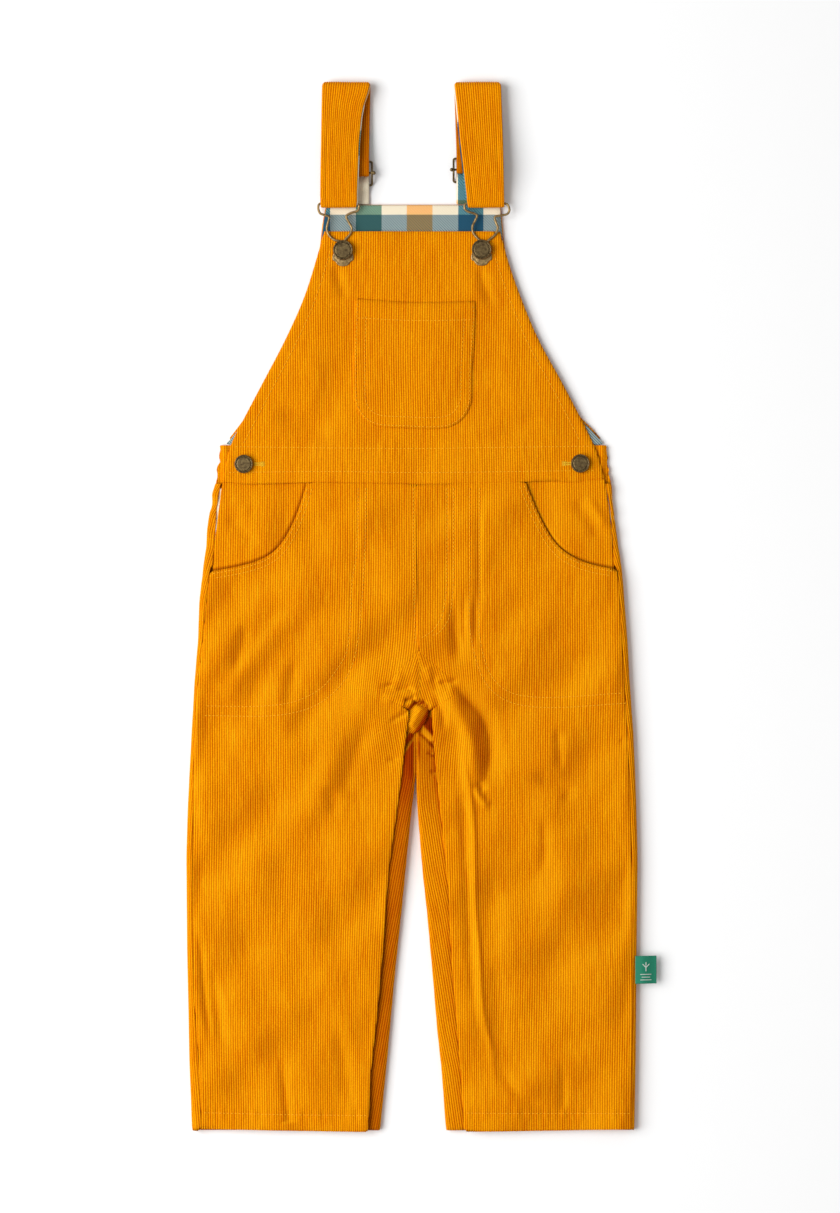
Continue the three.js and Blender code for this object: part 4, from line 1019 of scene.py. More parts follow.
# Painted shade on the back of a leg between the inseams, deepest below the crotch
def crotchPaintedShade(hand, x, y):
    cut = backLeg[hand]
    shade = backLeg["hollow"][hand]
    inside = cut["inseam"](y) - x * cut["sign"]
    edge = shade["edge"] * np.exp(-np.maximum(inside, 0) / shade["reach"])
    dark = shade["all"] + shade["top"] * softStep(shade["from"], shade["to"], y) + edge
    for (spotX, spotY), (wide, tall), amount in shade["spots"]:
        dark = dark + amount * np.exp(-((x - spotX) / wide) ** 2 - ((y - spotY) / tall) ** 2)
    return np.clip(dark, 0, 1)


def backLegPiece(hand):
    cut = backLeg[hand]
    middle, sign = backLeg["middle"], cut["sign"]
    step = cord["wale"] / 4
    across = np.arange(-math.ceil(112 / step), math.ceil(108 / step)) * step
    along = rowPlaces(backLeg["hem"] - 2, backLeg["top"], 5.0, [(-134, -74, 1.7), (30, 95, 2.2)])

    def field(a, b):
        sideReach, innerReach = legReach(hand, b)
        between = np.minimum(sideReach - a, a + innerReach)
        return np.minimum(between, np.minimum(b - backLeg["hem"], backLeg["top"] - b))

    def folded(x, y):
        return foldHeight(x, y, backLeg["folds"][hand])

    def shadeAt(x, y):
        return crotchPaintedShade(hand, x, y)

    def carry(a, b, f):
        radius, sideX, _, innerX, topWidth, rolled = legSection(hand, b)
        x, z = middle + a, np.zeros(len(a))
        outX, outZ = np.zeros(len(a)), np.full(len(a), -1.0)
        past = a - (sideX - radius - middle)
        turn = np.clip(past / radius, 0, np.pi)
        beyond = np.maximum(past - radius * np.pi, 0)
        onSide = past > 0
        x = np.where(onSide, sideX - radius + radius * np.sin(turn) - beyond, x)
        z = np.where(onSide, radius - radius * np.cos(turn), z)
        outX, outZ = np.where(onSide, np.sin(turn), outX), np.where(onSide, -np.cos(turn), outZ)
        # the inner edge: a tight turn, then a slope up to the seam with the front leg
        bend = backLeg["rollRadius"]
        short = -a - (middle - innerX - bend)
        turn = np.clip(short / bend, 0, np.pi)
        beyond = np.maximum(short - bend * np.pi, 0)
        onInner = (short > 0) & (rolled > 0)
        rollX = innerX + bend - bend * np.sin(turn) + beyond
        slope = (backLeg["seamZ"] - 2 * bend) * softStep(0, 1, beyond / topWidth)
        low = 0.42 + 0.58 * softStep(-90, -112, b) + backLeg["swell"] * np.exp(-((b + 165) / 55) ** 2)
        rollZ = (bend - bend * np.cos(turn) + slope) * low
        onTop = softStep(0.6 * np.pi, np.pi, turn)
        rollZ = np.maximum(rollZ + onTop * folded(rollX * sign, b), backLeg["wall"] * onTop)
        flatX = np.maximum(middle + a, tuck)
        x = np.where(onInner, flatX + (rollX - flatX) * rolled, x)
        z = np.where(onInner, rollZ * rolled, z)
        outX = np.where(onInner, -np.sin(turn) * rolled, outX)
        outZ = np.where(onInner, -1 + (1 - np.cos(turn)) * rolled, outZ)
        size = np.maximum(np.hypot(outX, outZ), 1e-6)
        out = np.stack([outX / size * sign, np.zeros(len(a)), outZ / size], axis=1)
        gathered = elasticWave(x * sign, b) * softStep(0.5, 2.5, z) * (past > 0)
        centre = np.stack([x * sign, b, z + gathered], axis=1) - out * cord["relief"]
        # painted shade and highlight on the top of the inner roll
        shaded = pressedBy(folded, x * sign, b, shadeAt) * (onTop * onInner)[:, None]
        return centre, out, shaded

    piece = ribbedShell(
        f"back_leg_{hand}_cord", field, across, along, carry, backLeg["wall"], f"back_leg_{hand}",
    )
    rows = np.linspace(backLeg["hem"], backLeg["top"], 400)
    sideReach, innerReach = legReach(hand, rows)
    return piece


for hand in ("left", "right"):
    backLegPiece(hand)
print("back legs rolled round")

hipBag = {
    "left": {
        "outer": [(-147.2, 95.2), (-149.4, 77.9), (-152.5, 52.8), (-154.2, 35.7), (-154.6, 8), (-158, -40),
                  (-160, -72)],
        "inner": [(-60, 94.6), (-50, 88), (-47, 30), (-51, -8), (-55, -38), (-64, -54), (-78, -68),
                  (-92, -73)],
    },
    "right": {
        "outer": [(143.4, 97.2), (147, 73.3), (149.3, 49.8), (150.4, 30), (151, 8), (154, -40), (156, -70)],
        "inner": [(60, 95), (52, 88), (49, 30), (50, -8), (52, -34), (58, -52), (70, -64), (84, -68)],
    },
    "drop": 2.9,
    "wall": 1.2,
    "mouth": 2.6,  # the pocket mouth stands open this much
    "top": {"left": [(-77, 95.6), (-129, 94.0)], "right": [(77, 96), (103.4, 96.9), (119.3, 96.0)]},
    "folds": [
        {"line": [(118, 82), (132, 66), (142, 48)], "reach": 5, "height": -0.7},
        {"line": [(128, 84), (138, 72), (146, 58)], "reach": 3.5, "height": 0.6},
        {"line": [(-146, 70), (-132, 58), (-120, 44)], "reach": 5, "height": -0.6},
        {"line": [(-140, 84), (-126, 70)], "reach": 4, "height": 0.4},
    ],
}


def bagFace(x, y):
    seen = softStep(30, 60, y) * softStep(96, 118, np.abs(x))
    face = legFace(x, y) - hipBag["drop"] + seen * 1.1 + handling(x, y, 9, 0.12, 0.6)
    for scoop in (leftScoop, rightScoop):
        far, _, _ = nearLine(x, y, smoothLine(scoop, 5))
        face = face - hipBag["mouth"] * np.exp(-(far / 1.0) ** 2) * (1 - 0.6 * softStep(50, 90, y))
    return face + hipCrease(x, y)


# Soft creases that fan from the side opening
def hipCrease(x, y):
    return foldHeight(x, y, hipBag["folds"])


for hand in ("left", "right"):
    top = np.array(hipBag["top"][hand], float)
    outer, inner = smoothLine(hipBag[hand]["outer"], 6), smoothLine(hipBag[hand]["inner"], 6)
    outline = np.vstack([outer, inner[::-1], top])
    cordPanel(
        f"hip_pocket_{hand}_cord", f"hip_pocket_{hand}", outline, bagFace, hipBag["wall"], rowStep=6.0,
        fineRows=[(24, 50, 1.0), (50, 96, 2.2)],
    )
print("hip pockets set in")

gusset = {
    "wall": 1.6,
    "turnIn": 0.9,  # how far its edges run in under the legs
    "apex": (2.6, -34.4),
    "left": [(-12.3, -48.5), (-19.2, -56.7), (-25.6, -67.4)],
    "right": [(14.6, -44.4), (23.4, -52), (29.4, -67)],
    "lobe": [(-15, -73.1), (-5.0, -78.6), (-5.6, -84), (-6.8, -91), (-6.4, -95), (-2.3, -96), (2.3, -93.5),
             (6.1, -88), (8.4, -82), (10.6, -78.4), (12, -78.2), (21, -72.6)],
    "centre": [(2.2, -71.5), (2.3, -60), (2.4, -48)],
    "axis": (0.5, -84.0, 0.58),  # the turned-under part runs down to the left along this line
    "folds": [
        {"line": [(2.4, -38), (2.2, -72)], "reach": 1.5, "height": -0.2, "fade": (0.2, 0.0)},
        {"line": [(5, -75.5), (0.5, -84), (-4.4, -93)], "reach": 4.4, "height": 2.3, "fade": (0.1, 0.15)},
        {"line": [(-10, -50), (-18, -64)], "reach": 4, "height": 0.6},
        {"line": [(12, -50), (17, -66)], "reach": 2.4, "height": -0.5, "fade": (0.3, 0.3)},
        {"line": [(20, -56), (24, -66)], "reach": 2.4, "height": -0.4, "fade": (0.3, 0.3)},
        {"line": [(-16, -63.5), (-6, -62.5), (1.5, -66)], "reach": 1.5, "height": -0.6, "fade": (0.3, 0.3)},
        {"line": [(-3, -67), (-1, -71)], "reach": 1.2, "height": -0.9},
        {"line": [(8, -44), (12, -58)], "reach": 3, "height": 0.6},
        {"line": [(-9, -71.5), (-3, -70.4), (1, -73.4), (10.8, -76.4)], "reach": 1.0, "height": -3.0,
         "fade": (0.05, 0.05)},
    ],
}


def gussetFace(hand):
    def height(x, y):
        edgeY = -71 - 5 * softStep(3, 9, np.abs(x - 3))
        down = 1 - softStep(edgeY - 4.0, edgeY + 1.0, y)
        level = legHeights[hand](x, np.maximum(y, -74)) * (1 - down) + lay["legHeight"] * down
        return np.maximum(level - down * 3.2 + foldHeight(x, y, gusset["folds"]), 4.0)

    return height


# Painted shade where the cloth turns under at the bottom of the crotch, beside the turned-under part and
# below it
def gussetPaintedShade(x, y):
    edgeY = -71 - 5 * softStep(3, 9, np.abs(x - 3))
    under = np.exp(-((y - edgeY + 2.2) / 1.7) ** 2) * (1 - softStep(6, 12, np.abs(x - 3)))
    atX, atY, lean = gusset["axis"]
    off = x - atX - lean * (y - atY)
    beside = softStep(3.6, 7.0, off) * (1 - softStep(edgeY - 4, edgeY - 1, y))
    return 0.75 * under + 0.85 * beside + 0.5 * (1 - softStep(-97, -91.5, y))


# The ribs of each half lean towards the apex, and lie slantwise on the part that turns under
def gussetWarp(side):
    def warp(a, b):
        fall = np.clip(-34 - b, 0, 60)
        turned = (1 - softStep(-79, -74, b)) * (b + 75) * 0.8 if side < 0 else 0
        return side * 0.3 * fall + turned

    return warp


gussetHalves = {
    "left": [gusset["apex"], *gusset["left"], *gusset["lobe"][:9], (8.6, -76.8), *gusset["centre"]],
    "right": [
        *gusset["centre"][::-1], (8.6, -76.0), *gusset["lobe"][9:], *gusset["right"][::-1], gusset["apex"],
    ],
}
gussetSeam = np.array(gusset["centre"] + [gusset["apex"]], float)
for hand, side in (("left", -1), ("right", 1)):
    cordPanel(
        f"crotch_gusset_{hand}_half", "crotch_gusset", np.array(gussetHalves[hand], float), gussetFace(hand),
        gusset["wall"], gussetWarp(side), edge=(0.5, 1.3), rowStep=1.0, sewn=[gussetSeam],
        grow=gusset["turnIn"], hollow=gussetPaintedShade,
    )
print("gusset sewn in")

bib = {
    "left": [(-69.9, 285.4), (-76, 263.3), (-85.9, 232.9), (-99.6, 202.5), (-115.5, 172.1), (-131.5, 141.7),
             (-139.1, 127), (-142.3, 118), (-147.2, 94.4)],
    "right": [(63.8, 285.4), (69.9, 263.3), (80.6, 232.9), (93.5, 202.5), (110.2, 172.1), (126.2, 141.7),
              (132.5, 129), (138, 116), (143.4, 96.6)],
    "seam": [(-147.2, 94.4), (-129.2, 93.2), (-76.8, 94.8), (3, 93), (38, 93.7), (73, 94.8), (103.4, 95.9),
             (119.3, 95), (143.4, 96.6)],
    "wall": 1.9,
    "rows": [
        {"line": [(-138, 121.6), (-60, 120.6), (0, 120.2), (60, 121), (132, 122)], "depth": 0.4,
         "pucker": 0.1},
        {"line": [(-143, 102), (-60, 102.6), (0, 101.8), (60, 102.4), (138, 103.6)], "depth": 0.4,
         "pucker": 0.1},
    ],
    "folds": [
        {"line": [(-62, 262), (-58, 246), (-52, 232)], "reach": 4, "height": -0.9},
        {"line": [(48, 262), (52, 244), (60, 226)], "reach": 4, "height": -0.9},
        {"line": [(-110, 150), (-90, 140), (-60, 134)], "reach": 8, "height": -0.8},
        {"line": [(100, 150), (80, 138), (60, 132)], "reach": 8, "height": -0.5},
        {"line": [(-80, 200), (-76, 170), (-84, 140)], "reach": 8, "height": 0.35},
        {"line": [(72, 210), (70, 175), (80, 146)], "reach": 8, "height": 0.35},
    ],
}


def bibFace(x, y):
    rise = 1 - softStep(lay["waistSeam"], 130, y)
    tab = 1 - 0.55 * softStep(95, 138, np.abs(x))
    return lay["bibTop"] + rise * (lay["waistTop"] - lay["bibTop"]) * tab


def bibHeight(x, y):
    return bibFace(x, y) + foldHeight(x, y, bib["folds"]) + handling(x, y, 21, 0.16, 0.1) - 0.1


# A line beside an edge, towards the middle of the piece
def beside(points, distance, keep=slice(None)):
    line = smoothLine(points, 4)[keep]
    way = np.gradient(line, axis=0)
    way /= np.linalg.norm(way, axis=1)[:, None]
    return line + np.stack([-way[:, 1], way[:, 0]], axis=1) * distance


armRows = [
    {"line": beside(bib["left"][:-2], 8.4), "depth": 0.3, "pucker": 0.08},
    {"line": beside(bib["right"][:-2], -8.4), "depth": 0.3, "pucker": 0.08},
]
bibOutline = np.vstack([
    smoothLine(bib["left"], 4),
    smoothLine(bib["seam"], 6)[1:-1] - (0, tuck),
    smoothLine(bib["right"], 4)[::-1],
])
bibStitches = bib["rows"] + armRows
bibGrooves = grooved(bibStitches, 6)
cordPanel(
    "front_bib_cord", "front_bib", bibOutline, bibHeight, bib["wall"], None, bibGrooves, edge=(0.8, 1.8),
    sewn=sewnLines[:1],
)

patch = {
    "top": [(-46, 234.5), (-20, 232.4), (4.6, 231.4), (25, 231.7), (44.5, 232.6)],
    "left": [(-46, 234.5), (-46.6, 222), (-47.6, 182), (-46.9, 156), (-44.6, 148.9), (-40.4, 143.2)],
    "right": [(44.5, 232.6), (45.4, 226), (42.7, 178.2), (42.2, 156), (40.2, 149.8), (36.2, 143.2)],
    "bottom": [(-40.4, 143.2), (-35.6, 139.6), (-28.1, 136.9), (-7.6, 135.7), (12.9, 135), (25.1, 136.4),
               (31.6, 139.4), (36.2, 143.2)],
    "wall": 1.2,
    "lift": 1.7,
}
patchU = np.vstack([
    smoothLine(patch["left"], 3)[:-1], smoothLine(patch["bottom"], 3)[:-1],
    smoothLine(patch["right"], 3)[::-1],
])
patchOutline = np.vstack([patchU, smoothLine(patch["top"], 4)[::-1][1:-1]])
patchRows = [
    {"line": beside(patchU, 1.7, slice(1, -1)), "depth": 0.3, "pucker": 0.05},
    {"line": beside(patchU, 8.6, slice(4, -4)), "depth": 0.3, "pucker": 0.05},
    {"line": [(-45, 219.5), (0, 217.4), (43.6, 218)], "depth": 0.35, "pucker": 0.08},
]


def patchHeight(x, y):
    return bibHeight(x, y) + patch["lift"] + handling(x, y, 33, 0.06)


patchGrooves = grooved(patchRows, 5)
cordPanel(
    "bib_pocket_cord", "bib_pocket", patchOutline, patchHeight, patch["wall"], None, patchGrooves,
    edge=(0.7, 1.4),
)
print("bib and its pocket sewn")

backBib = {
    "left": [(-68.5, 305.9), (-71.2, 292), (-74.8, 263.3), (-84.8, 232.9), (-98.4, 202.5), (-114.4, 172.1),
             (-130.8, 143), (-139.8, 131), (-146.4, 123.6)],
    "right": [(64.5, 305.9), (66.6, 283), (69, 263.3), (79.4, 232.9), (92.4, 202.5), (109, 172.1),
              (125.2, 144),
              (133.5, 136), (144.6, 123.6)],
    "wall": 1.2,
    "liningWall": 0.8,
    "liningTop": 2.75,
}
sideOpening = {
    "left": [(-142, 90), (-143, 70), (-144, 50), (-156, 50), (-154.6, 66), (-153.4, 78), (-152.2, 90)],
    "right": [(137, 91), (138, 70), (139.5, 46), (152.8, 46), (151.4, 62), (150.2, 76), (148.2, 91)],
    "face": 4.25,
    "wall": 0.7,
    "shift": {"left": (205, 46), "right": (-138, 46)},
}


# The back panel's face looks down, so the ribs are on its underside
def downPanel(name, node, outline, face, wall, rowStep=6.0, ripple=None):
    low, high = outline.min(axis=0) - 1, outline.max(axis=0) + 1
    step = cord["wale"] / 4
    across = np.arange(math.floor(low[0] / step), math.ceil(high[0] / step) + 1) * step
    along = np.arange(low[1], high[1] + rowStep, rowStep)

    def carry(a, b, f):
        out = np.zeros((len(a), 3))
        out[:, 2] = -1
        z = np.full(len(a), face + cord["relief"])
        if ripple is not None:
            z = z + ripple(a, b)
        return np.stack([a, b, z], axis=1), out

    piece = ribbedShell(name, lambda a, b: signedDistance(a, b, outline), across, along, carry, wall, node)
    return piece


backBibOutline = np.vstack([smoothLine(backBib["left"], 5), smoothLine(backBib["right"], 5)[::-1]])
downPanel("back_bib_cord", "back_bib", backBibOutline, 0.0, backBib["wall"])


# Thin woven cloth that lies flat: a closed wall with a soft surface
def flannelPanel(name, node, outline, top, wall, shift, step=2.0):
    low, high = outline.min(axis=0) - 1, outline.max(axis=0) + 1
    across, along = np.arange(low[0], high[0] + step, step), np.arange(low[1], high[1] + step, step)
    gridA, gridB = np.meshgrid(across, along)
    i, j, f, groups = cutGrid(signedDistance(gridA, gridB, outline))
    x, y = np.interp(i, np.arange(len(across)), across), np.interp(j, np.arange(len(along)), along)
    z = top + handling(x, y, 41, 0.05) - 0.4 * (1 - softStep(0, 1.2, f))
    upper, under = np.stack([x, y, z], axis=1), np.stack([x, y, z - wall], axis=1)
    places = np.vstack([upper, under])
    faces = faceLists(groups) + faceLists(groups, len(x), flip=True)
    for loop in openLoops(groups):
        ahead = loop[1:] + loop[:1]
        faces += [(a, a + len(x), b + len(x), b) for a, b in zip(loop, ahead)]
    grain = np.vstack([np.stack([x + shift[0], y + shift[1]], axis=1)] * 2)
    piece = makePiece(name, places, faces, "flannel", [node] if node else [], grain)
    return piece


liningOutline = backBibOutline * (0.99, 1) + (0, -0.3)
bandOrigin = (65.4, 5 * flannelLook["band"] - 298.3)
flannelPanel(
    "back_bib_lining_check", "back_bib_lining", liningOutline, backBib["liningTop"], backBib["liningWall"],
    bandOrigin,
)
for hand in ("left", "right"):
    flannelPanel(
        f"side_opening_lining_{hand}", None, np.array(sideOpening[hand], float), sideOpening["face"],
        sideOpening["wall"], sideOpening["shift"][hand],
    )

waistband = {
    "wall": 1.7,
    "left": [(-149.6, 122.8), (-149.0, 119), (-150.2, 114), (-148.9, 110.6), (-151.2, 107), (-151.9, 103.4),
             (-150.9, 100), (-151.8, 96.4), (-152.6, 93.2)],
    "right": [(145.2, 122.8), (145.0, 118), (146.2, 113), (145.2, 109), (147.0, 105), (146.6, 101),
              (147.9, 97), (148.6, 93.2)],
}
bandOutline = np.vstack([smoothLine(waistband["left"], 2), smoothLine(waistband["right"], 2)[::-1]])


def gathers(x, y):
    edges = 1 + 2.4 * softStep(128, 146, np.abs(x))
    wave = 0.5 + 0.5 * np.sin(2 * math.pi * x / 7.4 + 0.8 * np.sin(x / 17) + 0.25 * np.sin(y / 5))
    hold = 0.35 + 0.65 * np.abs(np.sin((y - 93) * math.pi / 10))
    return wave * edges * 0.75 * hold


downPanel(
    "back_waistband_cord", "back_waistband", bandOutline, 0.0, waistband["wall"], rowStep=1.5, ripple=gathers,
)
print("back bib, lining and waistband in place")

strap = {
    "ply": 0.95,
    "top": 399.3,
    "start": 306.4,
    "barY": 306.4,
    "barZ": 6.7,
    "sliderY": {"left": 329.8, "right": 332.2},
    "sliderZ": 5.9,
    "endZ": 1.1,
    "step": 2.2,
    "edges": {
        "left": {
            "frontLeft": [(303, -72.4), (312, -72.8), (398.6, -71.4)],
            "frontRight": [(303, -45.2), (330, -44.1), (350, -43.4), (371, -41.6), (382, -39.6), (390, -36.6),
                           (398.6, -34.6)],
            "backLeft": [(303, -63.6), (345, -64.8), (398.6, -71)],
            "backRight": [(303, -35.6), (345, -35.6), (398.6, -34.6)],
        },
        "right": {
            "frontLeft": [(303, 39.6), (328, 36.5), (354.5, 33.4), (381, 31), (398.6, 29)],
            "frontRight": [(303, 67.2), (354, 66.1), (398.6, 64.6)],
            "backLeft": [(303, 30.8), (345, 30.8), (398.6, 29)],
            "backRight": [(303, 59), (345, 59.6), (398.6, 64.4)],
        },
    },
    "checkShift": {"left": (89.6, -205.75), "right": (65.65, -270.5)},
    "shade": 0.5,  # painted shade on the back layer, which lies in the shade of the front one
    "corner": 2.6,  # the folded top ends are rounded this much
    "liningShows": 0.8,  # the check stands this far beyond the corduroy at the inner edge
}


# Middle line of a strap as (y, z, layer): up the back, over, down the front, round the hook and back up
# to the slider
def strapLine(hand):
    y0, top = strap["sliderY"][hand], strap["top"] - 5.2
    barY, barZ = strap["barY"], strap["barZ"]
    lie, over = 1.15, strap["endZ"] + 0.8 + 0.3 + 1.15
    hookTurn, slideTurn, outerFold, innerFold, foldZ = 2.3, 2.15, 4.05, 1.45, 5.2
    line = [(strap["start"], lie, 0), (y0 - 14.5, lie, 0), (y0 - 10.4, over, 0), (y0 - 7.6, over, 0)]
    line += [(y0 - 3.4, lie, 0), (y0 + 4, lie, 0), (y0 + 7.6, over, 0), (y0 + 10.4, over, 0)]
    line += [(y0 + 15, lie, 0), (y0 + 34, lie, 0)]
    turns = np.linspace(0, math.pi, 9)
    line += [(top + outerFold * math.sin(t), foldZ - outerFold * math.cos(t), t / math.pi) for t in turns]
    line += [(top - 12, foldZ + outerFold + 0.3, 1), (top - 22, foldZ + outerFold + 1, 1)]
    line += [(y0 + 15, 12.2, 1), (y0 + 6, 13.3, 1), (y0 - 4, 13.3, 1), (y0 - 12, 11.4, 1)]
    line += [(barY + 5, barZ + hookTurn + 0.6, 1)]
    line += [(barY - hookTurn * math.sin(t), barZ + hookTurn * math.cos(t), 1 + t / math.pi) for t in turns]
    line += [(barY + 5, barZ - hookTurn + 0.9, 2), (y0 - 12, 8.2, 2), (y0 - 4, 10.6, 2), (y0 + 6, 10.6, 2)]
    line += [(y0 + 15, 9.4, 2), (top - 22, foldZ + innerFold + 0.9, 2),
             (top - 12, foldZ + innerFold + 0.2, 2)]
    line += [(top + innerFold * math.sin(t), foldZ + innerFold * math.cos(t), 2 + t / math.pi) for t in turns]
    line += [(top - 14, foldZ - innerFold, 3), (top - 24, foldZ - innerFold + 0.5, 3), (y0 + 16, 6.2, 3)]
    line += [(y0 + 8, 7.8, 3)]
    line += [(y0 - slideTurn * math.sin(t), strap["sliderZ"] + slideTurn * math.cos(t), 3) for t in turns]
    line += [(y0 + 3, strap["sliderZ"] - slideTurn, 3)]
    return np.array(line)


def strapEdgesAt(hand, y, layer):
    tables = strap["edges"][hand]
    front = frontShare(layer)
    read = {key: np.interp(y, [r[0] for r in rows], [r[1] for r in rows]) for key, rows in tables.items()}
    left = read["backLeft"] * (1 - front) + read["frontLeft"] * front
    right = read["backRight"] * (1 - front) + read["frontRight"] * front
    round_ = strap["corner"] * np.clip((y - (strap["top"] - 3.4)) / 3.4, 0, 1) ** 2
    return left + round_, right - round_


# Numbers round the edge of a grid of points
def gridRim(ids):
    return ids[0, :-1].tolist() + ids[:-1, -1].tolist() + ids[-1, :0:-1].tolist() + ids[:0:-1, 0].tolist()


# How far each layer is at the front: 0 for the back of a strap, 1 for its front
def frontShare(layer):
    return np.clip(np.where(layer <= 1, layer, np.where(layer <= 2, 1, 3 - layer)), 0, 1)


# One ply of a strap as a closed ribbon; face is +1 for the corduroy side and -1 for the lining
def strapPly(hand, face):
    rough = strapLine(hand)
    kept = [rough[0]]
    for point in rough[1:]:
        if np.hypot(*(point[:2] - kept[-1][:2])) > 0.3:
            kept.append(point)
    bends = smoothLine(kept, 0.9)
    way = np.gradient(bends[:, :2], axis=0)
    angle = np.unwrap(np.arctan2(way[:, 1], way[:, 0]))
    gone = np.concatenate([[0], np.cumsum(np.linalg.norm(np.diff(bends[:, :2], axis=0), axis=1))])
    keep, last = [0], 0
    for k in range(1, len(bends)):
        if gone[k] - gone[last] > strap["step"] or abs(angle[k] - angle[last]) > 0.2 or k == len(bends) - 1:
            keep.append(k)
            last = k
    line, along = bends[keep], gone[keep]
    way = np.gradient(bends[:, :2], axis=0)[keep]
    way /= np.linalg.norm(way, axis=1)[:, None]
    outY, outZ = way[:, 1] * face, -way[:, 0] * face
    left, right = strapEdgesAt(hand, line[:, 0], line[:, 2])
    if face < 0:
        onFront = softStep(0.6, 1.0, line[:, 2]) * (1 - softStep(1.0, 1.6, line[:, 2])) * strap["liningShows"]
        left, right = left - onFront * (hand == "right"), right + onFront * (hand == "left")
    step = cord["wale"] / 4 if face > 0 else 2.2
    columns = int(round((right - left).max() / step))
    if face > 0:
        columns = int(round(columns / 4)) * 4
    share = np.linspace(0, 1, columns + 1)
    count = len(line)
    x = left[:, None] + (right - left)[:, None] * share[None]
    inset = np.minimum(share, 1 - share)[None] * (right - left)[:, None]
    edgeDrop = 0.35 * (1 - softStep(0, 1.4, inset))
    rib = np.tile(np.array(cord["ribShape"]), columns)[:columns + 1][None] * cord["relief"] if face > 0 else 0
    draw = 0.0
    if face > 0:
        sewn = softStep(strap["barY"], strap["barY"] + 4, line[:, 0]) * (1 - softStep(352, 372, line[:, 0]))
        draw = 0.4 * np.exp(-((inset - 4.6) / 0.8) ** 2) * sewn[:, None]
        draw = draw + 0.1 * np.sin(line[:, 0][:, None] / 5.1 + x / 6)
    near = 0.15
    far = near + strap["ply"] - (cord["relief"] if face > 0 else 0)
    level = far + rib * softStep(0, 0.8, inset) - edgeDrop - draw
    outerY = line[:, 0][:, None] + outY[:, None] * level
    outerZ = line[:, 1][:, None] + outZ[:, None] * level
    outer = np.stack([x, outerY, outerZ], axis=2)
    innerX = x[:, ::2] if columns % 2 == 0 else x
    flatShape = (count, innerX.shape[1])
    inner = np.stack([
        innerX, np.broadcast_to((line[:, 0] + outY * near)[:, None], flatShape),
        np.broadcast_to((line[:, 1] + outZ * near)[:, None], flatShape),
    ], axis=2)
    places = np.vstack([outer.reshape(-1, 3), inner.reshape(-1, 3)])
    outerIds = np.arange(count * (columns + 1)).reshape(count, columns + 1)
    innerIds = outerIds.size + np.arange(flatShape[0] * flatShape[1]).reshape(flatShape)
    quads = []
    for ids, flip in ((outerIds, face > 0), (innerIds, face < 0)):
        group = np.stack([ids[:-1, :-1], ids[:-1, 1:], ids[1:, 1:], ids[1:, :-1]], axis=-1).reshape(-1, 4)
        quads.append(group[:, ::-1] if flip else group)
    faces = faceLists(quads)
    rim = zipLoops(gridRim(outerIds), gridRim(innerIds), places)
    faces += [f[::-1] for f in rim] if face > 0 else rim
    across = np.broadcast_to(share[None] * columns * step, (count, columns + 1))
    if face < 0:
        across = x
    acrossInner = across[:, ::2] if columns % 2 == 0 else across
    run = along if face > 0 else line[:, 0]
    grain = np.vstack([
        np.stack([across, np.broadcast_to(run[:, None], across.shape)], axis=2).reshape(-1, 2),
        np.stack([acrossInner, np.broadcast_to(run[:, None], acrossInner.shape)], axis=2).reshape(-1, 2),
    ])
    if face < 0:
        grain = grain + strap["checkShift"][hand]
    name = f"strap_{hand}" if face > 0 else f"strap_lining_{hand}"
    finish = "corduroy" if face > 0 else "flannel"
    # painted shade on the back layer, fading out towards the folded top
    behind = 1 - frontShare(line[:, 2])
    dark = behind * strap["shade"] * softStep(0, 12, strap["top"] - line[:, 0])
    pressed = np.concatenate([np.repeat(dark, columns + 1), np.repeat(dark, flatShape[1])])
    pressed = np.stack([pressed, np.zeros(len(pressed))], axis=1)
    piece = makePiece(
        name + ("_cord" if face > 0 else "_check"), places, faces, finish, [name], grain, shade=pressed,
    )
    return piece


for hand in ("left", "right"):
    for face in (1, -1):
        strapPly(hand, face)
print("straps folded over")


# A round bar along points; rings close on themselves
def tube(points, radius, sides=12, ring=False):
    p = np.array(points, float)
    count = len(p)
    ahead = np.roll(p, -1, axis=0) if ring else np.vstack([p[1:], p[-1:]])
    behind = np.roll(p, 1, axis=0) if ring else np.vstack([p[:1], p[:-1]])
    way = ahead - behind
    way /= np.linalg.norm(way, axis=1)[:, None]
    side = np.cross(way, (0, 0, 1.0))
    side /= np.maximum(np.linalg.norm(side, axis=1)[:, None], 1e-6)
    over = np.cross(side, way)
    turn = np.linspace(0, 2 * math.pi, sides, endpoint=False)
    radii = np.broadcast_to(np.asarray(radius, float), (count,))
    places = p[:, None] + radii[:, None, None] * (
        side[:, None] * np.cos(turn)[None, :, None] + over[:, None] * np.sin(turn)[None, :, None]
    )
    faces = []
    for k in range(count if ring else count - 1):
        after = (k + 1) % count
        for s in range(sides):
            t = (s + 1) % sides
            faces.append((k * sides + s, after * sides + s, after * sides + t, k * sides + t))
    if not ring:
        faces.append(tuple(range(sides)))
        faces.append(tuple((count - 1) * sides + s for s in range(sides - 1, -1, -1)))
    return places.reshape(-1, 3), faces


def turned(profile, sides, centre):
    rings = [(r, z) for r, z in profile if r > 0]
    turn = np.linspace(0, 2 * math.pi, sides, endpoint=False)
    places = [(centre[0], centre[1], profile[0][1]), (centre[0], centre[1], profile[-1][1])]
    for r, z in rings:
        places += [(centre[0] + r * math.cos(t), centre[1] + r * math.sin(t), z) for t in turn]
    faces = []
    for s in range(sides):
        t = (s + 1) % sides
        faces.append((0, 2 + t, 2 + s))
        last = 2 + (len(rings) - 1) * sides
        faces.append((1, last + s, last + t))
        for k in range(len(rings) - 1):
            a = 2 + k * sides
            faces.append((a + s, a + t, a + sides + t, a + sides + s))
    return np.array(places), faces


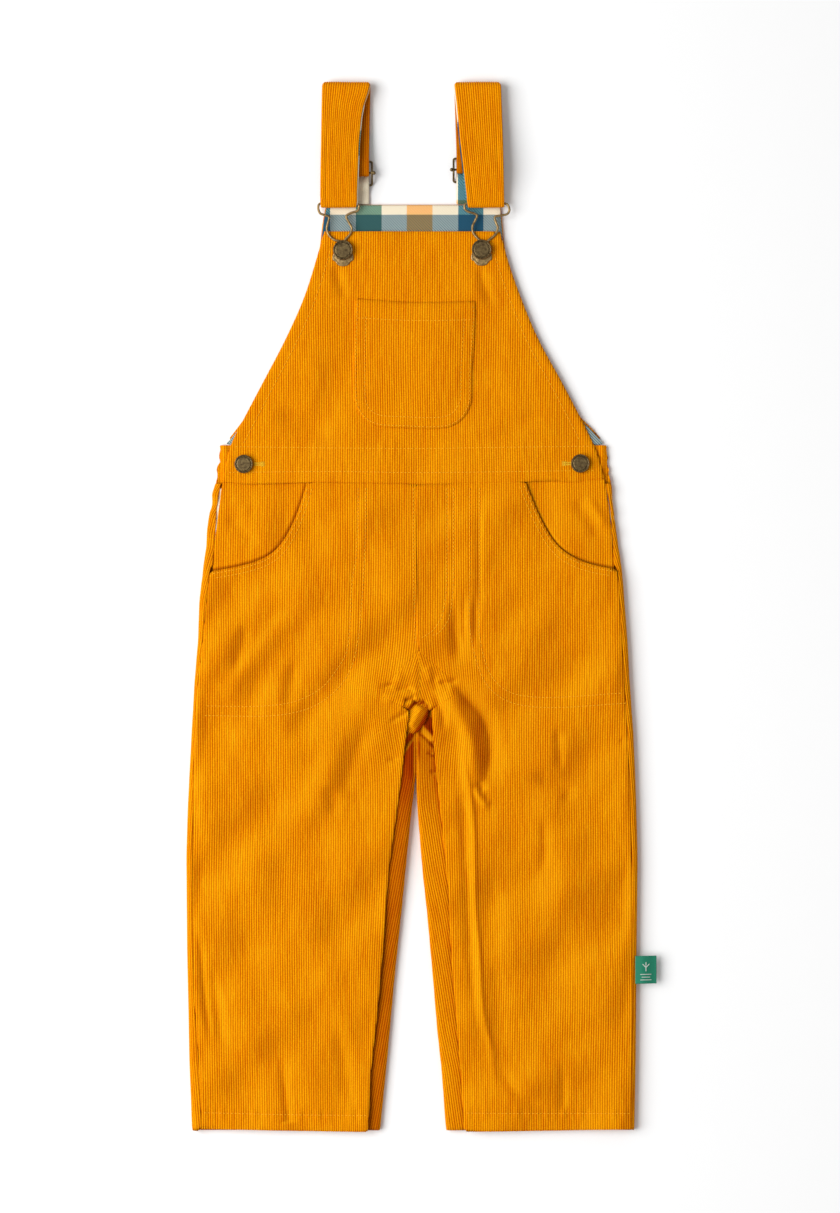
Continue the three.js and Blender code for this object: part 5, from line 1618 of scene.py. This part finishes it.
def joined(parts):
    places, faces, offset = [], [], 0
    for p, f in parts:
        places.append(np.asarray(p, float))
        faces += [tuple(v + offset for v in face) for face in f]
        offset += len(p)
    return np.vstack(places), faces


hardware = {
    "wire": 0.9,
    "bibButtons": {"left": (-55.5, 270.9), "right": (49.9, 271.3)},
    "sideButtons": {"left": (-130.9, 108.3), "right": (124.9, 108.7)},
    "wires": {
        "left": [
            (-56.0, 275.6), (-57.6, 277.6), (-61.6, 278.6), (-66.1, 282.3), (-67.8, 287.2), (-66.9, 292),
            (-66.1, 296), (-69.5, 297.6),
            (-72.9, 299), (-74.1, 301.6), (-74.3, 304), (-73.6, 305.9), (-72.2, 306.4), (-59, 306.4),
            (-45.4, 306.4), (-43.9, 305.7), (-43.4, 303.6), (-44.3, 301), (-50.2, 298.9), (-53, 296.6),
            (-51, 292),
            (-48.9, 287.7), (-50.2, 283.1), (-53.6, 279.2), (-55.2, 275.8),
        ],
        "right": [
            (50.2, 275.6), (49.6, 277.6), (47.2, 279.6), (43.4, 284.4), (43, 289.2), (45.2, 294),
            (46.4, 297.4), (43.5, 299),
            (39.5, 300.2), (37.1, 302.4), (36.9, 304.8), (37.8, 306.1), (39.4, 306.4), (53, 306.4),
            (67.6, 306.4), (69.4, 305.7), (70.6, 303.8), (71, 301.2), (69.6, 298.6), (64, 297.2), (60, 296.2),
            (60.8, 292), (62.2, 288.2), (60.4, 283.1), (55.6, 278.8), (52.0, 275.8),
        ],
    },
    "plate": [(0, -12.2), (3.2, -11.6), (4.9, -10.1), (5.8, -8.6), (7.6, -7.7), (8, -5), (6.8, -1),
              (5.6, 3), (0, 4.6),
              (-5.6, 3), (-6.8, -1), (-8, -5), (-7.6, -7.7), (-5.8, -8.6), (-4.9, -10.1), (-3.2, -11.6)],
    "plateRings": [(1.0, 5.35), (1.0, 5.9), (0.97, 6.25), (0.9, 6.35), (0.84, 6.15), (0.78, 6.3),
                   (0.5, 6.35)],
    "plateMiddle": (0, -2.2),
    "sliders": {"left": (-66.8, -33.4), "right": (28.6, 61.8)},
    "sliderHalf": 9.0,
    "sliderCorner": 1.4,
    "sliderWire": 0.8,
    "knob": 1.4,  # round ends of the slider's centre bar
    "rod": 0.7,
}

for hand in ("left", "right"):
    flat = smoothLine(hardware["wires"][hand], 0.8)
    restZ = lay["bibTop"] + 0.3 + hardware["wire"]
    lift = softStep(292, strap["barY"] - 3, flat[:, 1]) * (strap["barZ"] - restZ)
    wirePoints = np.column_stack([flat, restZ + lift])
    places, faces = tube(wirePoints, hardware["wire"], 12)
    makePiece(f"bib_hook_{hand}_wire", places, faces, "hookBrass", [f"bib_hook_{hand}"])

    # stamped plate with a rolled edge
    bx, by = hardware["bibButtons"][hand]
    rim = smoothLine(hardware["plate"] + hardware["plate"][:1], 0.8)[:-1]
    n = len(rim)
    rings = []
    for share, z in hardware["plateRings"]:
        shrunk = rim * share + np.array(hardware["plateMiddle"]) * (1 - share)
        rings.append(np.column_stack([shrunk + (bx, by), np.full(n, z)]))
    faces = [tuple(range(n))]
    for k in range(len(rings) - 1):
        for s in range(n):
            after = (s + 1) % n
            faces.append(((k + 1) * n + s, (k + 1) * n + after, k * n + after, k * n + s))
    faces.append(tuple((len(rings) - 1) * n + s for s in range(n - 1, -1, -1)))
    makePiece(f"hook_plate_{hand}_brass", np.vstack(rings), faces, "hookBrass", [f"hook_plate_{hand}"])

    # slider frame, arched, with the centre bar through it
    left, right = hardware["sliders"][hand]
    y0, half, corner = strap["sliderY"][hand], hardware["sliderHalf"], hardware["sliderCorner"]
    ringPoints = []
    for cx, cy, start in (
        (right - corner, y0 - half + corner, -0.5), (right - corner, y0 + half - corner, 0.0),
        (left + corner, y0 + half - corner, 0.5), (left + corner, y0 - half + corner, 1.0),
    ):
        for t in np.linspace(start, start + 0.5, 6):
            ringPoints.append((cx + corner * math.cos(math.pi * t), cy + corner * math.sin(math.pi * t)))
        if start in (-0.5, 0.5):
            way = 1 if start < 0 else -1
            edgeX = right if start < 0 else left
            sidePlaces = np.linspace(-half + corner + 1, half - corner - 1, 12)
            ringPoints += [(edgeX, y0 + way * s) for s in sidePlaces]
    ringPoints = np.array(ringPoints)
    away = np.minimum(1, np.abs(ringPoints[:, 1] - y0) / (half - corner / 2))
    arch = strap["endZ"] - strap["sliderZ"]
    ringPoints = np.column_stack([ringPoints, strap["sliderZ"] + arch * away ** 2])
    frameBar = tube(ringPoints, hardware["sliderWire"], 10, ring=True)
    reach, knob = (right - left) / 2 + 1.9, hardware["knob"]
    opens, closes = np.linspace(0.1, 2.5, 8), np.linspace(2.5, 0.1, 8)
    along = np.concatenate([-reach + 0.5 - knob * np.cos(opens), [0], reach - 0.5 + knob * np.cos(closes)])
    radii = np.concatenate([knob * np.sin(opens), [hardware["rod"]], knob * np.sin(closes)])
    rodPoints = np.zeros((len(along), 3)) + (0, y0, strap["sliderZ"])
    rodPoints[:, 0] = (left + right) / 2 + along
    places, faces = joined([frameBar, tube(rodPoints, np.maximum(radii, 0.3), 12)])
    makePiece(f"strap_slider_{hand}_brass", places, faces, "agedBrass", [f"strap_slider_{hand}"])


# Tack button: a flat middle, a sunk ring with beads and a raised bright rim
def tackButton(name, node, centre, base, neck, radius):
    head = base + neck
    profile = [
        (0, base), (2.6, base), (2.6, head), (radius - 0.8, head), (radius - 0.2, head + 0.3),
        (radius, head + 0.9),
        (radius - 0.05, head + 1.5), (radius - 0.2, head + 2.1), (radius - 0.45, head + 2.5),
        (radius - 0.75, head + 2.6),
        (radius - 1.0, head + 2.35), (radius - 1.15, head + 1.95), (radius - 1.75, head + 1.9),
        (radius - 1.9, head + 2.15), (radius - 2.1, head + 2.35), (radius - 2.5, head + 2.3),
        (2.0, head + 2.42),
        (0, head + 2.45),
    ]
    parts = [turned(profile, 48, centre)]
    beads, far = 34, radius - 1.45
    dome = [(0, 1.8), (0.36, 1.85), (0.32, 2.1), (0.17, 2.25), (0, 2.3)]
    for k in range(beads):
        t = 2 * math.pi * k / beads
        bx, by = centre[0] + far * math.cos(t), centre[1] + far * math.sin(t)
        parts.append(turned([(r, head + z) for r, z in dome], 6, (bx, by)))
    places, faces = joined(parts)
    return makePiece(name, places, faces, "agedBrass", [node])


for hand in ("left", "right"):
    tackButton(
        f"bib_button_{hand}_brass", f"bib_button_{hand}", hardware["bibButtons"][hand],
        lay["bibTop"] + 0.3, 2.2, 7.6,
    )
    tabX, tabY = hardware["sideButtons"][hand]
    tabZ = float(bibFace(np.array([tabX]), np.array([tabY]))[0]) + 0.6
    tackButton(f"side_button_{hand}_brass", f"side_button_{hand}", (tabX, tabY), tabZ, 0.9, 7.1)
print("metalwork fitted")

thread = {"length": 2.2, "pitch": 2.9, "radius": 0.26, "lift": 0.1}


# Short twisted stitches laid along lines, each with its cloth's height
def stitchRun(points, height, skip=0.0):
    line = smoothLine(points, 0.5)
    gone = np.concatenate([[0], np.cumsum(np.linalg.norm(np.diff(line, axis=0), axis=1))])
    parts = []
    starts = np.arange(skip + 0.8, gone[-1] - thread["length"], thread["pitch"])
    shape = [(0.0, 0.35, -0.25), (0.18, 0.9, 0.06), (0.5, 1.0, 0.16), (0.82, 0.9, 0.06), (1.0, 0.35, -0.25)]
    for start in starts:
        at = np.array([start + s * thread["length"] for s, _, _ in shape])
        x, y = np.interp(at, gone, line[:, 0]), np.interp(at, gone, line[:, 1])
        z = float(height(x[2:3], y[2:3])[0]) + np.array([h for _, _, h in shape]) + thread["lift"]
        parts.append(tube(np.column_stack([x, y, z]), [thread["radius"] * r for _, r, _ in shape], 5))
    return parts


def groovedHeight(height, grooves):
    return lambda x, y: height(x, y) + grooveHeight(x, y, grooves) + cord["relief"] * 0.8


frontStitches = []
for hand in ("left", "right"):
    surface = groovedHeight(legHeights[hand], legGrooves[hand])
    for row in legRows[hand]:
        frontStitches += stitchRun(row["line"], surface)
places, faces = joined(frontStitches)
makePiece("front_topstitching", places, faces, "thread")
bibSurface = groovedHeight(bibHeight, bibGrooves)
patchSurface = groovedHeight(patchHeight, patchGrooves)
bibRuns = []
for row in bibStitches:
    bibRuns += stitchRun(row["line"], bibSurface)
for row in patchRows:
    bibRuns += stitchRun(row["line"], patchSurface)
places, faces = joined(bibRuns)
makePiece("bib_topstitching", places, faces, "thread")

# buttonholes of the side tabs: an eye of satin stitches each side of a slit, and a bar at its outer end
holeRuns = []
for hand, (startX, endX) in {"left": (-122.8, -116.6), "right": (112.4, 118.6)}.items():
    cy = hardware["sideButtons"][hand][1]
    for x in np.arange(startX, endX, 0.42):
        for side in (-1, 1):
            ys = cy + side * np.array([0.15, 0.7, 1.35])
            zs = bibSurface(np.full(3, x), ys) + np.array([0.0, 0.22, -0.1])
            holeRuns.append(tube(np.column_stack([np.full(3, x), ys, zs]), [0.16, 0.2, 0.14], 5))
    barX = endX if hand == "left" else startX
    for x in barX + np.linspace(-1.2, 1.2, 5):
        ys = cy + np.linspace(-1.9, 1.9, 5)
        zs = bibSurface(np.full(5, x), ys) + np.array([0.0, 0.3, 0.38, 0.3, 0.0])
        holeRuns.append(tube(np.column_stack([np.full(5, x), ys, zs]), 0.2, 5))
places, faces = joined(holeRuns)
makePiece("buttonhole_stitching", places, faces, "bartack")
print("stitches laid")

tab = {"left": 166.6, "right": 182.9, "low": -286.6, "high": -265.5, "wall": 0.8}


def tabHeight(x):
    return 8.5 - 3.2 * softStep(171, 184, x)


def tabPiece():
    across, along = np.linspace(tab["left"], tab["right"], 34), np.linspace(tab["low"], tab["high"], 40)
    x, y = np.meshgrid(across, along)
    z = tabHeight(x) + 0.12 * np.sin(y / 3.1)
    upper = np.stack([x, y, z + tab["wall"]], axis=2).reshape(-1, 3)
    under = np.stack([x, y, z], axis=2).reshape(-1, 3)
    ids = np.arange(x.size).reshape(x.shape)
    group = [np.stack([ids[:-1, :-1], ids[:-1, 1:], ids[1:, 1:], ids[1:, :-1]], axis=-1).reshape(-1, 4)]
    faces = faceLists(group) + faceLists(group, x.size, flip=True)
    for loop in openLoops(group):
        faces += [(a, a + x.size, b + x.size, b) for a, b in zip(loop, loop[1:] + loop[:1])]
    grain = np.vstack([np.stack([x.ravel(), y.ravel()], axis=1)] * 2)
    piece = makePiece("seam_label_tab", np.vstack([upper, under]), faces, "labelWeave", ["seam_label"], grain)
    # plain woven motif: a sprig of two leaves over three bars
    runs = []
    motif = [
        [(170.5, -279.5), (179, -279.5)], [(171.5, -281.6), (178, -281.6)], [(170.5, -283.7), (179, -283.7)],
        [(174.8, -277.2), (174.8, -270.2)], [(174.8, -274.4), (177.4, -271.6)],
        [(174.8, -274.4), (172.2, -271.6)],
    ]
    for points in motif:
        line = smoothLine(points, 0.6)
        z = tabHeight(line[:, 0]) + tab["wall"] + 0.16
        runs.append(tube(np.column_stack([line, z]), 0.26, 6))
    places, faces = joined(runs)
    makePiece("seam_label_motif", places, faces, "labelThread")


tabPiece()
print("label sewn in")

# Floor, light and camera
stage = {
    "floor": 4.0,
    "floorDrop": 0.5,  # puts the floor just under the lowest point of the cloth
    "floorColour": (0.90, 0.90, 0.90),
    "camera": (-1.0, 0.0, 3000.0),
    "sensor": 36,
    "focusZ": 8,
    "viewHeight": 921.9,
    "keyPower": 133.0,
    "keyPlace": (-2.2, -0.05, 2.3),
    "keySize": 2.6,
    "fill": 0.42,
}
half = stage["floor"] / 2
floorMesh = bpy.data.meshes.new("floor")
floorCorners = [(-half, -half, 0), (half, -half, 0), (half, half, 0), (-half, half, 0)]
floorMesh.from_pydata(floorCorners, [], [(0, 1, 2, 3)])
floor = bpy.data.objects.new("floor", floorMesh)
bpy.context.scene.collection.objects.link(floor)
floorMaterial, tree, shader = nodeTree("paperFloor")
paper = noiseOf(tree, addNode(tree, "ShaderNodeTexCoord").outputs["Object"], 40.0, 2.0)
white = stage["floorColour"]
shaded = tuple(0.97 * c for c in white)
paperTone = mixColour(tree, "MIX", spreadTo(tree, paper, 0.3, 0.7, 0.0, 0.1), white, shaded)
tree.links.new(paperTone, shader.inputs["Base Color"])
shader.inputs["Roughness"].default_value = 0.9
floorMesh.materials.append(floorMaterial)
floor.location.z = -stage["floorDrop"] * mm

world = bpy.data.worlds.new("studio")
bpy.context.scene.world = world
world.use_nodes = True
world.node_tree.nodes["Background"].inputs[0].default_value = (1, 1, 1, 1)
world.node_tree.nodes["Background"].inputs[1].default_value = stage["fill"]
keyData = bpy.data.lights.new("softbox", "AREA")
keyData.energy = stage["keyPower"]
keyData.size = stage["keySize"]
key = bpy.data.objects.new("softbox", keyData)
bpy.context.scene.collection.objects.link(key)
key.location = stage["keyPlace"]
key.rotation_euler = (-Vector(stage["keyPlace"])).to_track_quat("-Z", "Y").to_euler()

cameraData = bpy.data.cameras.new("overhead")
cameraData.sensor_fit = "VERTICAL"
cameraData.sensor_height = stage["sensor"]
cameraData.lens = stage["sensor"] * (stage["camera"][2] - stage["focusZ"]) / stage["viewHeight"]
cameraData.clip_end = 20
camera = bpy.data.objects.new("overhead", cameraData)
bpy.context.scene.collection.objects.link(camera)
camera.location = [v * mm for v in stage["camera"]]
bpy.context.scene.camera = camera
bpy.context.scene.view_settings.view_transform = "Standard"
